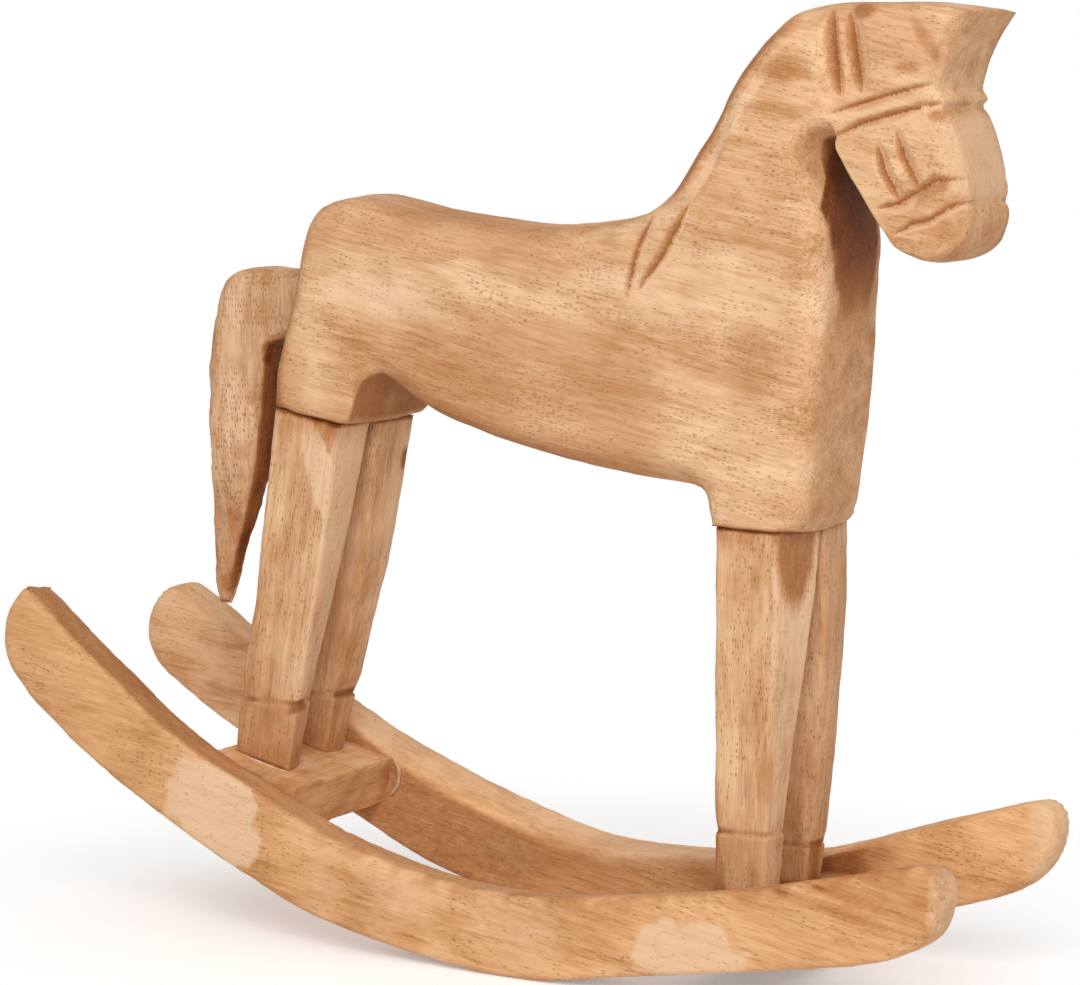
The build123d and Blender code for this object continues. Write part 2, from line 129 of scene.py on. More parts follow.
def plank(low, high, rear, front, ties, depth, counts, crown=0.0, edge=0.55, spread=((0, 1), (0, 1))):
    """Closed surface of a board cut to a side outline of four lines: low and high run along it,
    rear and front close its ends from low to high. A flat grid is blended between the four lines,
    the ties say which place of low faces which place of high, and depth(x, z, rim, side) gives each
    grid point's distance from the middle plane, where rim is its distance from the outline. The two
    sides are joined by a strip round the outline, raised by crown along its middle. The counts are
    the points along the board, up it and across its edge. The grid is closer along the two edges by
    edge, and along the board as the pairs of spread say."""
    nu, nw, ny = counts
    su, sl, sh = np.interp(np.linspace(0, 1, nu), *spread), lengths(low), lengths(high)
    at_low = [sl[np.argmin(np.hypot(*(low - tie[0]).T))] for tie in ties]
    at_high = [sh[np.argmin(np.hypot(*(high - tie[1]).T))] for tie in ties]
    share = (np.array(at_low) / sl[-1] + np.array(at_high) / sh[-1]) / 2
    bottom = walk(low, np.interp(su, share, at_low))
    top = walk(high, np.interp(su, share, at_high))
    w = np.linspace(0, 1, nw)
    w = w - edge * np.sin(2 * pi * w) / (2 * pi)
    flat = bottom[:, None] * (1 - w)[:, None] + top[:, None] * w[:, None]
    for end, line, ease in ((0, rear, (1 - su) ** 6), (-1, front, su**6)):
        bend = walk(line, w * lengths(line)[-1]) - flat[end]
        flat = flat + ease[:, None, None] * bend
    x, z = flat[..., 0], flat[..., 1]
    ring = np.vstack([flat[:, 0], flat[-1, 1:], flat[-2::-1, -1], flat[0, -2:0:-1]])
    rim = reach(np.vstack([ring[::2], ring[:1]]), x, z)[0]
    sides = [np.stack([x, side * depth(x, z, rim, side), z], -1).reshape(-1, 3) for side in (-1, 1)]
    index = np.arange(nu * nw).reshape(nu, nw)
    quads = [index[:-1, :-1], index[1:, :-1], index[1:, 1:], index[:-1, 1:]]
    quads = np.stack(quads, -1).reshape(-1, 4)
    loop = np.r_[index[:, 0], index[-1, 1:], index[-2::-1, -1], index[0, -2:0:-1]]
    ahead = np.roll(ring, -1, 0) - np.roll(ring, 1, 0)
    out = np.stack([ahead[:, 1], -ahead[:, 0]], 1) / np.maximum(np.hypot(*ahead.T), 1e-9)[:, None]
    t = np.linspace(0, 1, ny)[1:-1]
    strip = sides[0][loop][:, None] * (1 - t)[:, None] + sides[1][loop][:, None] * t[:, None]
    strip[..., [0, 2]] += crown * (4 * t * (1 - t))[:, None] * out[:, None]
    inner = 2 * nu * nw + np.arange(strip.shape[0] * strip.shape[1]).reshape(strip.shape[:2])
    band = np.concatenate([loop[:, None], inner, loop[:, None] + nu * nw], 1)
    turn = np.roll(band, -1, 0)
    wrap = np.stack([band[:, :-1], band[:, 1:], turn[:, 1:], turn[:, :-1]], -1).reshape(-1, 4)
    points = np.vstack([sides[0], sides[1], strip.reshape(-1, 3)])
    return points, np.vstack([quads, quads[:, ::-1] + nu * nw, wrap])


def rounded(half, radius, rim):
    """Half width of a board whose edges are quarter circles of a radius: full width beyond the
    radius from the outline, and a radius less on it."""
    inset = radius - np.minimum(rim, radius)
    return half - radius + np.sqrt(np.maximum(radius**2 - inset**2, 0))


def waver(points, size, seed):
    """Uneven hand of the carver: the mean of fourteen sine waves of random heading and phase, with
    wave lengths spread about a size, as one value from about -1 to 1 at each point."""
    rng = np.random.default_rng(seed)
    heading = rng.normal(size=(3, 14))
    heading *= 2 * pi / (size * rng.uniform(0.6, 1.7, 14)) / np.linalg.norm(heading, axis=0)
    return np.sin(points @ heading + rng.uniform(0, 2 * pi, 14)).mean(-1) * 2.2


def uneven(points, size, amount, seed):
    """Points moved by an amount along X, Y and Z by three separate wavers."""
    return points + amount * np.stack([waver(points, size, seed + i) for i in range(3)], -1)


def gouged(a, b, long, short, seed):
    """Depth of overlapping gouge strokes, 0 to 1: one less 1.6 times the squared distance to the
    nearest of a field of jittered stroke centres, on cells of a long and a short side."""
    u, v = a / long, b / short
    best = np.full(u.shape, 9.0)
    for i, j in np.ndindex(3, 3):
        cu, cv = np.floor(u) + i - 1, np.floor(v) + j - 1
        jitter_u = np.modf(np.sin(cu * 127.1 + cv * 311.7 + seed) * 43758.5453)[0]
        jitter_v = np.modf(np.sin(cu * 269.5 + cv * 183.3 + seed) * 43758.5453)[0]
        away = (cu + 0.5 + 0.4 * jitter_u - u) ** 2 + (cv + 0.5 + 0.4 * jitter_v - v) ** 2
        best = np.minimum(best, away)
    return np.clip(1 - best * 1.6, 0, 1)


def patch(x, z, centre, across, up, soft=0.6):
    """Weight of an oval patch: 1 inside, falling smoothly to 0 at its rim."""
    return ramp(np.hypot((x - centre[0]) / across, (z - centre[1]) / up), 1, 1 - soft)


def add_node(tree, kind, *inputs, **settings):
    """New shader node of a kind: its settings are set, and each input, a pair of a socket and a value,
    is linked where the value is another node's output and set where it is a constant."""
    made = tree.nodes.new("ShaderNode" + kind)
    for key, value in settings.items():
        setattr(made, key, value)
    for socket, value in inputs:
        if isinstance(value, bpy.types.NodeSocket):
            tree.links.new(value, made.inputs[socket])
        else:
            made.inputs[socket].default_value = value
    return made


def wood(name, light, dark, turn=(0, 0, 0), offset=(0, 0, 0), pores=0.5, bumpy=0.4):
    """Raw open-pored wood on object coordinates, with the grain along X before the turn: fibres,
    streaks and bands are noises stretched along a slightly wavy grain, the mottle is an even noise,
    and pores are thin cells along the grain, of which a share is kept where they crowd. The piece's
    own weights darken or pale it in specks: real stains, wax and sanded patches, and also painted
    shade and painted light."""
    material = bpy.data.materials.new(name)
    material.use_nodes = True
    tree = material.node_tree
    shader = tree.nodes["Principled BSDF"]
    node = partial(add_node, tree)

    def noise(vector, scale, detail, rough=0.55, output="Fac"):
        inputs = ("Vector", vector), ("Scale", scale), ("Detail", detail), ("Roughness", rough)
        return node("TexNoise", *inputs).outputs[output]

    def level(value, low, high, out_low=0.0, out_high=1.0):
        inputs = ("Value", value), ("From Min", low), ("From Max", high)
        return node("MapRange", *inputs, ("To Min", out_low), ("To Max", out_high)).outputs["Result"]

    def sums(operation, a, b):
        return node("Math", (0, a), (1, b), operation=operation).outputs[0]

    def stretched(vector, share):
        return node("Mapping", ("Vector", vector), ("Scale", (share, 1, 1))).outputs["Vector"]

    def blend(factor, a, b):
        return node("Mix", ("Factor", factor), (6, a), (7, b), data_type="RGBA").outputs[2]

    place = node("TexCoord").outputs["Object"]
    board = node("Mapping", ("Vector", place), ("Rotation", turn), ("Location", offset)).outputs["Vector"]
    wave = noise(stretched(board, 0.5), 16.0, 2.0, output="Color")
    grain = node("VectorMath", (0, wave), (1, (0, 0.006, 0.006)), (2, board), operation="MULTIPLY_ADD")
    grain = grain.outputs["Vector"]
    fibres = noise(stretched(grain, 0.05), 1500.0, 3.0, 0.6)
    streaks = noise(stretched(grain, 0.07), 420.0, 3.0, 0.6)
    bands = noise(stretched(grain, 0.13), 85.0, 3.0, 0.55)
    mottle = noise(stretched(board, 0.5), 75.0, 5.0, 0.65)
    clouds = noise(stretched(board, 0.7), 24.0, 2.0)
    specks = noise(board, 800.0, 3.0, 0.6)
    tone = sums("ADD", level(fibres, 0.39, 0.61, 0.0, 0.22), level(streaks, 0.38, 0.62, 0.0, 0.25))
    tone = sums("ADD", tone, level(bands, 0.38, 0.62, 0.0, 0.2))
    tone = sums("ADD", tone, level(mottle, 0.37, 0.63, 0.0, 0.36))
    tone = sums("ADD", tone, level(clouds, 0.37, 0.63, -0.2, 0.2))
    sanded = node("Attribute", attribute_name="sanded").outputs["Fac"]
    sanded = level(sums("ADD", sanded, level(mottle, 0.3, 0.7, -0.22, 0.22)), 0.15, 0.8)
    stained = node("Attribute", attribute_name="stain").outputs["Fac"]
    rubbed = sums("ADD", sums("ADD", specks, mottle), fibres)
    stained = sums("MULTIPLY", stained, level(rubbed, 1.2, 1.85, 1.16, 0.84))
    cells = node("TexVoronoi", ("Vector", stretched(grain, 0.2)), ("Scale", 2300.0))
    kept = node("SeparateColor", ("Color", cells.outputs["Color"])).outputs["Red"]
    crowd = level(noise(stretched(board, 0.5), 52.0, 3.0), 0.4, 0.66, 1.0, 1.0 - pores)
    holes = sums("MULTIPLY", level(cells.outputs["Distance"], 0.55, 0.2),
                 level(sums("SUBTRACT", kept, crowd), 0.0, 0.04))
    veins = level(noise(stretched(grain, 0.07), 1050.0, 2.0), 0.58, 0.72)
    veins = sums("MULTIPLY", veins, level(bands, 0.6, 0.42, 0.0, 0.9))
    holes = sums("MAXIMUM", sums("MULTIPLY", holes, 0.78), sums("MULTIPLY", veins, 0.62))
    holes = sums("MULTIPLY", holes, level(sanded, 0.0, 1.0, 1.0, 0.5))
    colour = blend(tone, (*dark, 1), (*light, 1))
    colour = blend(sums("MULTIPLY", sanded, level(streaks, 0.3, 0.7, 0.72, 1.0)), colour, (*SANDED_AND_LIT_COLOUR, 1))
    colour = blend(holes, colour, (*PORE, 1))
    colour = blend(level(stained, 0.0, 0.6), colour, (*AMBER, 1))
    colour = blend(level(stained, 0.35, 1.0), colour, (*STAIN_AND_SHADE_COLOUR, 1))
    tree.links.new(colour, shader.inputs["Base Color"])
    tree.links.new(level(streaks, 0.3, 0.7, 0.74, 0.56), shader.inputs["Roughness"])
    shader.inputs["Specular IOR Level"].default_value = 0.18
    height = sums("SUBTRACT", sums("MULTIPLY", fibres, 0.5), holes)
    height = sums("ADD", height, sums("MULTIPLY", specks, 0.6))
    bump = node("Bump", ("Height", height), ("Strength", bumpy), ("Distance", 0.0006)).outputs["Normal"]
    tree.links.new(bump, shader.inputs["Normal"])
    return material


def piece(name, points, faces, material, slot, nodes=(), **weights):
    """Mesh object from points in millimetres, drawn from a mark a little ahead of the middle of the
    object's length, and an array of faces, a row of corners each. It is smooth but for its sharp
    edges, keeps its weights on its points, rides on the one rigid body and stands for the named
    solids."""
    mesh = bpy.data.meshes.new(name)
    mesh.vertices.add(len(points))
    mesh.vertices.foreach_set("co", ((points + (DRAWN_FROM, 0, 0)) * 0.001).ravel())
    mesh.loops.add(faces.size)
    mesh.loops.foreach_set("vertex_index", faces.ravel().astype(np.int32))
    mesh.polygons.add(len(faces))
    starts = np.arange(0, faces.size, faces.shape[1], dtype=np.int32)
    mesh.polygons.foreach_set("loop_start", starts)
    mesh.update(calc_edges=True)
    mesh.validate()
    mesh.polygons.foreach_set("use_smooth", np.ones(len(mesh.polygons), bool))
    mesh.set_sharp_from_angle(angle=radians(42))
    for key in ("sanded", "stain"):
        weight = np.clip(weights.get(key, np.zeros(len(points))), 0, 1).astype(np.float32)
        mesh.attributes.new(key, "FLOAT", "POINT").data.foreach_set("value", weight)
    mesh.materials.append(material)
    made = bpy.data.objects.new(name, mesh)
    bpy.context.scene.collection.objects.link(made)
    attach(made, "root")
    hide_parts(*nodes)
    return made


# inward is how far a rocker's top face falls towards the middle of the horse
rocker_lines = {
    "rocker_right": dict(
        side=-1, inward=3.2, light=NEAR_LIGHT,
        low=curve((-196, 88), (-189.4, 81), (-180.9, 74.4), (-162.1, 61.9), (-143.5, 50.7),
                  (-106.9, 31.6), (-71.2, 16.2), (-53.6, 10.8), (-36.2, 7), (-19.1, 4), (6.2, 0.9),
                  (24, 0.1), (40, 1), (71.3, 6.4), (118, 14.2), (148, 19.6), (165, 23.8), (178, 29.2)),
        rear=curve((-196, 88), (-200.6, 94), (-202.6, 101.4), (-202, 110.5), (-199, 118),
                   (-194.8, 123.8), (-191.6, 125.6)),
        front=curve((178, 29.2), (183.4, 33), (186.4, 38.6), (187.7, 45), (187.8, 51), (186.6, 55.4),
                    (183.8, 58), (179.5, 58.6), (174, 57)),
        high=curve((-191.6, 125.6), (-186.6, 121.8), (-175, 112), (-163, 102), (-133, 80.8),
                   (-115, 69.8), (-97, 61.2), (-66, 48.2), (-40, 39.4), (-10, 33.2), (19, 31.2),
                   (43.5, 32.4), (75.5, 36.2), (106.5, 41.4), (136.8, 47.8), (160, 53.6), (174, 57))),
    "rocker_left": dict(
        side=1, inward=6.0, light=FAR_LIGHT,
        low=curve((-189, 79), (-180, 73), (-167.5, 66), (-150, 57), (-125, 43.2), (-95, 28.8),
                  (-72, 18.4), (-40, 8.4), (-5, 2), (25, 0.2), (60, 3.8), (110, 13), (150, 22.2),
                  (166, 27), (178, 31.6)),
        rear=curve((-189, 79), (-194.6, 84.4), (-197.9, 91), (-198.4, 98.4), (-195.8, 106.2),
                   (-190.8, 112.4), (-184, 114.6), (-176.5, 110.6)),
        front=curve((178, 31.6), (184.5, 36), (188.8, 40.6), (191.6, 45.8), (193.2, 51), (193.5, 56),
                    (192.3, 60.2), (189.4, 62.9), (185, 63.6), (177, 61.6)),
        high=curve((-176.5, 110.6), (-161.8, 101.4), (-132, 84.6), (-102.6, 69.4), (-80.7, 59.4),
                   (-55.4, 49.8), (-27.9, 40.8), (3.1, 32.6), (24, 30.2), (49.5, 30.6), (78, 33.2),
                   (105.6, 37.8), (150.7, 53), (177, 61.6)))}


def sanded_patch(points):
    """Pale patches where the plugs over the screws were sanded flush: two ragged ovals, one at each
    crossbar, the rear one leaning and cut off short in front."""
    x, y, z = points.T
    ragged = 3.0 * waver(points, 16, 14) + 1.5 * waver(points, 6, 15)
    ovals = []
    for at_x, at_z, across, up, lean in (REAR_PATCH, FRONT_PATCH):
        off = np.hypot((x - at_x + lean * (z - at_z)) / across, (z - at_z) / up)
        ovals.append(ramp(off + ragged / PATCH_RAGGED, 1.1, 0.78))
    return np.maximum(np.minimum(ovals[0], ramp(x + ragged, PATCH_END, PATCH_END - 5)), ovals[1])


for name, lines in rocker_lines.items():
    side, low, high = lines["side"], lines["low"], lines["high"]
    near, far = side < 0, side > 0

    def rocker_depth(x, z, rim, face):
        """Distance of a rocker's face from the horse's middle plane: edges rounded, more so at the
        tips, the outer face rasped and the inner face hollowed by short gouge strokes."""
        edge = ROCKER_EDGE + TIP_EDGE * ramp(np.abs(x), 168, 182)
        if face == side:
            strokes = RASP_DEEP * gouged(x + 0.6 * z, z - 0.2 * x, 10, 4.5, 3.0)
        else:
            strokes = GOUGE_DEEP * gouged(x - 1.2 * z, z + 0.4 * x, 13, 5, 8.0) * ramp(rim, 4, 9)
        half = rounded((ROCKER_OUT - ROCKER_IN) / 2, edge, rim)
        return face * side * (ROCKER_IN + ROCKER_OUT) / 2 + half - strokes

    marks = low[LINE_STEPS:-LINE_STEPS:2 * LINE_STEPS]
    heading = low[LINE_STEPS + 1:1 - LINE_STEPS:2 * LINE_STEPS] - marks
    across = ROCKER_DEEP * heading[:, ::-1] * (-1, 1) / np.linalg.norm(heading, axis=1)[:, None]
    ties = [(low[0], high[0]), *zip(marks, marks + across), (low[-1], high[-1])]
    points, faces = plank(low, high, lines["rear"], lines["front"], ties, rocker_depth, (420, 44, 16),
                          crown=0.4)
    x, y, z = points.T
    top = np.interp(x, high[:, 0], high[:, 1])
    inner = np.clip((ROCKER_OUT - np.abs(y)) / (ROCKER_OUT - ROCKER_IN), 0, 1)
    slope = lines["inward"] * np.maximum(ramp(x, -110, -60) * ramp(x, 50, -20), near)
    points[:, 2] -= slope * inner * ramp(z - top, -14, -1)
    points = uneven(uneven(points, 45, 0.4, 11), 9, 0.16, 12)
    torn = np.clip(waver(points * (1, 1, 2), 5, 13) - 0.2, 0, 1) * ramp(top - points[:, 2], 7, 1)
    points[:, 2] -= near * TORN_DEEP * torn * ramp(points[:, 0], 90, 20)
    points[:, 2] = np.maximum(points[:, 2], 0.0)
    x, y, z = points.T
    drop = top - z
    outer = ramp(side * y, ROCKER_OUT - 5, ROCKER_OUT - 1.5)
    pale = {
        "plug patches": 0.95 * outer * sanded_patch(points),
        "end grain": 0.5 * np.maximum(ramp(x, 182, 186), ramp(x, -198, -201)),
        "worn bevel": far * 0.55 * ramp(drop, 4 + 5 * inner, 1) * ramp(x, -130, -90) * ramp(x, 120, 60),
        "chisel mark": far * 0.5 * (side * y < 40) * patch(x, z, (-24, 22), 26, 10, 0.8),
        "rubbed middle": 0.25 * outer * ramp(np.abs(x + 10), 75, 45),
        # The far rocker's rear end is painted paler: painted light, for the shade it lies in.
        "lightened rear end": far * 0.42 * ramp(x, -112, -130)}
    upper = ramp(drop - lines["inward"] * inner, 2.5, 0.8) * ramp(side * y, ROCKER_OUT - 1, ROCKER_OUT - 3.5)
    blotch = ramp(waver(points, 8, 16), -0.5, 0.5)
    fall = z + 0.19 * (x - 150)
    inside = ramp(side * y, ROCKER_IN + 8, ROCKER_IN + 2) * (0.9 + 0.1 * waver(points, 5, 17))
    # brown darkens the far rocker's inner face between the bars: partly its own stain, partly painted shade
    # where it lies between the parts.
    brown = 0.46 * ramp(x, -112, -96) * ramp(x, 10, -30) + 0.24 * ramp(x, -30, 10) * ramp(x, 138, 112)
    brown = brown + 0.55 * ramp(x, 70, 100) * ramp(x, 138, 110)
    dark = {
        "top": near * upper * (0.2 + 0.24 * ramp(x, -60, -140)),
        "torn edge": near * 0.3 * outer * blotch * ramp(drop, 9, 1) * ramp(x, -100, -20),
        "long streak": 0.34 * outer * patch(x, fall, (150, 40), 42, 2.2),
        "short streak": 0.34 * outer * patch(x, fall, (152, 46), 34, 1.4),
        "rear end": near * 0.07 * outer * ramp(x, -110, -130),
        "inner face": far * inside * brown * ramp(drop, slope - 0.3, slope + 2)}
    material = wood(name + "_wood", lines["light"], ROCKER_DARK, ROCKER_GRAIN, (0.3, side, 0.1), 0.22, 0.5)
    piece(name, points, faces, material, "rocker_wood", [name],
          sanded=np.maximum.reduce(list(pale.values())), stain=sum(dark.values()))


# Screws and plugs: two steel wood screws go through each rocker into each crossbar's end. Their
# heads sit in deep holes that are closed with round plugs of wood filler, sanded flush.
PLUG_DEEP, STEEL = 3.0, (0.55, 0.53, 0.5, 1)


def turned(profile, centre, out, count=40):
    """Solid of revolution about a line along Y through a centre: the profile gives pairs of radius
    and height towards the outside, from pole to pole, carried round a full circle."""
    radius, height = np.array(profile, float).T
    angle = np.linspace(0, 2 * pi, count, endpoint=False)
    ring = np.empty((len(radius) - 2, count, 3))
    ring[..., 0] = centre[0] + radius[1:-1, None] * np.cos(angle)
    ring[..., 1] = centre[1] + out * height[1:-1, None]
    ring[..., 2] = centre[2] + radius[1:-1, None] * np.sin(angle)
    poles = np.array(centre) + np.outer(out * height[[0, -1]], (0, 1, 0))
    index = np.arange(ring.shape[0] * count).reshape(-1, count)
    after = np.roll(index, -1, 1)
    first, last = np.full(count, index.size), np.full(count, index.size + 1)
    corners = ((index[:-1], after[1:], after[:-1]), (index[:-1], index[1:], after[1:]),
               (first, index[0], after[0]), (last, after[-1], index[-1]))
    faces = np.vstack([np.stack(three, -1).reshape(-1, 3) for three in corners])
    return np.vstack([ring.reshape(-1, 3), poles]), faces if out < 0 else faces[:, ::-1]


def drawn_box(name):
    """Low and high corner of a solid's box, in millimetres from the mark that the outlines are drawn
    from."""
    return [np.array(corner) * 1000 - (DRAWN_FROM, 0, 0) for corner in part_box(name)]


filler = wood("wood_filler", NEAR_LIGHT, ROCKER_DARK, ROCKER_GRAIN, (0.3, -1, 0.1), 0.2, 0.5)
steel = bpy.data.materials.new("screw_steel")
steel.use_nodes = True
steel_shader = steel.node_tree.nodes["Principled BSDF"]
steel_shader.inputs["Metallic"].default_value = 1.0
steel_shader.inputs["Base Color"].default_value = STEEL
scuffs = add_node(steel.node_tree, "TexNoise", ("Scale", 900.0)).outputs["Fac"]
steel.node_tree.links.new(scuffs, steel_shader.inputs["Roughness"])
for name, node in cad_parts.items():
    if name.startswith("screw"):
        node.data.materials.clear()
        node.data.materials.append(steel)
    if name.startswith("filler_plug"):
        low, high = drawn_box(name)
        out = -1 if "right" in name else 1
        middle = ((low[0] + high[0]) / 2, out * ROCKER_OUT, (low[2] + high[2]) / 2)
        size = (high[0] - low[0]) / 2
        profile = [(0, 0.05), (size * 0.6, 0.03), (size - 0.7, -0.02), (size, -0.45), (size, -PLUG_DEEP),
                   (0, -PLUG_DEEP)]
        points, faces = turned(profile, middle, out)
        rim = np.hypot(points[:, 0] - middle[0], points[:, 2] - middle[2])
        arc = ramp(rim, size - 0.9, size - 0.2) * ramp(points[:, 2] - middle[2], -1, 3)
        piece(name, points, faces, filler, "wood_filler", [name],
              sanded=0.95 * sanded_patch(points), stain=0.22 * arc)


# Crossbars: two short thick boards of the same wood, set between the rockers with their ends
# butted on the rockers' inner faces. Each leans with the rocker's slope and carries two feet.
BAR_DEEP, BAR_THICK, BAR_SUNK = 40.0, 18.0, 0.6
BAR_LIGHT, BAR_DARK = (0.87, 0.48, 0.225), (0.55, 0.255, 0.095)
REAR_TILT, FRONT_TILT = 14.0, -6.0
bar_tops = {}


def bar_depth(x, z, rim, face):
    """Half length of a crossbar: the same all over, a little past the rockers' inner faces."""
    return np.full(x.shape, ROCKER_IN + BAR_SUNK)


for name, tilt in (("crossbar_rear", REAR_TILT), ("crossbar_front", FRONT_TILT)):
    low, high = drawn_box(name)
    middle = (low[[0, 2]] + high[[0, 2]]) / 2
    fore = np.array([cos(radians(tilt)), -sin(radians(tilt))]) * BAR_DEEP / 2
    up = np.array([sin(radians(tilt)), cos(radians(tilt))]) * BAR_THICK / 2
    bar_tops[name] = middle + up, tilt
    a, b, c, d = middle - fore - up, middle + fore - up, middle - fore + up, middle + fore + up
    bottom, top = np.linspace(a, b, 30), np.linspace(c, d, 30)
    rear, front = np.linspace(a, c, 30), np.linspace(b, d, 30)
    points, faces = plank(bottom, top, rear, front, [(a, c), (b, d)], bar_depth, (40, 20, 90), crown=0.3)
    points = uneven(uneven(points, 30, 0.4, 21), 7, 0.2, 22)
    x, y, z = points.T
    # The front bar is darkened all over: painted shade, as it lies low between the rockers and the feet.
    # Every bar grows darker towards its ends.
    stain = 0.2 * ramp(np.abs(y), 25, 33) + 0.2 * ramp(waver(points, 14, 23), 0.2, 0.9) + 0.55 * (tilt < 0)
    lift = (np.c_[x, z] - middle) @ up / (up @ up)
    sanded = 0.5 * ramp(lift, 0.74, 0.988) * ramp(np.abs(waver(points, 20, 24)), 0.1, 0.5)
    material = wood(name + "_wood", BAR_LIGHT, BAR_DARK, (0, 0, radians(90)), (0.2, 0.4, tilt), 0.5, 0.5)
    piece(name, points, faces, material, "bar_wood", [name], sanded=sanded, stain=stain)


# Legs: four square posts, rived and whittled with a knife, tapering to the foot, where one cut
# all round sets off the hoof. Their tops butt on the thighs and their feet on the bars, with a
# blind wooden peg in each end.
LEG_LIGHT, LEG_DARK = (0.86, 0.565, 0.34), (0.51, 0.24, 0.092)
LEG_EDGE, LEG_ROWS, TIE_STEP = 2.0, 400, 57
HOOF_CUT, HOOF_EASE = 0.7, 9.0
LEG_TOP_IN, LEG_TOP_OUT, LEG_FOOT_IN, LEG_FOOT_OUT = 0.6, 26.2, 10.5, 22.6
# lean is the grain's tilt, slant the front face's skew at the top and at the foot, and nick how deep
# the hoof's cut is in front, as a share of its depth elsewhere
legs = {
    "leg_rear_right": dict(
        side=-1, hoof=83.5, lean=10.0, seed=3, slant=(0.0, 0.28), nick=1.8,
        front=curve((-92.5, 57.6), (-87.2, 85), (-82.3, 109), (-77.5, 132), (-73.2, 152), (-69.7, 170),
                    (-65.9, 190.8)),
        rear=curve((-116, 63), (-113, 83.8), (-107, 114.9), (-102.8, 138), (-98.4, 168.5), (-94, 195.8))),
    "leg_rear_left": dict(
        side=1, hoof=81.5, lean=10.0, seed=7, slant=(0.0, 0.1), nick=1.5,
        front=curve((-95.6, 58.4), (-91.6, 74.3), (-88.3, 86.4), (-82, 110.4), (-75.5, 134),
                    (-70.4, 157.6), (-64.4, 190.6)),
        rear=curve((-118, 64), (-113.6, 85), (-106.6, 118), (-100.4, 152), (-94, 195.8))),
    "leg_front_right": dict(
        side=-1, hoof=54.4, lean=2.5, seed=11, slant=(-0.22, -0.04), nick=0.6,
        front=curve((109.1, 31.3), (109.6, 48), (110.8, 72), (113.2, 101), (116.2, 136), (117.4, 162.4)),
        rear=curve((88.5, 29.2), (89.1, 60), (89.6, 110), (90.2, 163.4))),
    "leg_front_left": dict(
        side=1, hoof=44.8, lean=2.5, seed=17, slant=(-0.12, -0.04), nick=0.6,
        front=curve((109.7, 31.4), (112, 50), (114.6, 76), (117.2, 106), (118.6, 136), (118.8, 162.4)),
        rear=curve((88.5, 29.2), (89.4, 60), (90.2, 110), (91, 163.4)))}
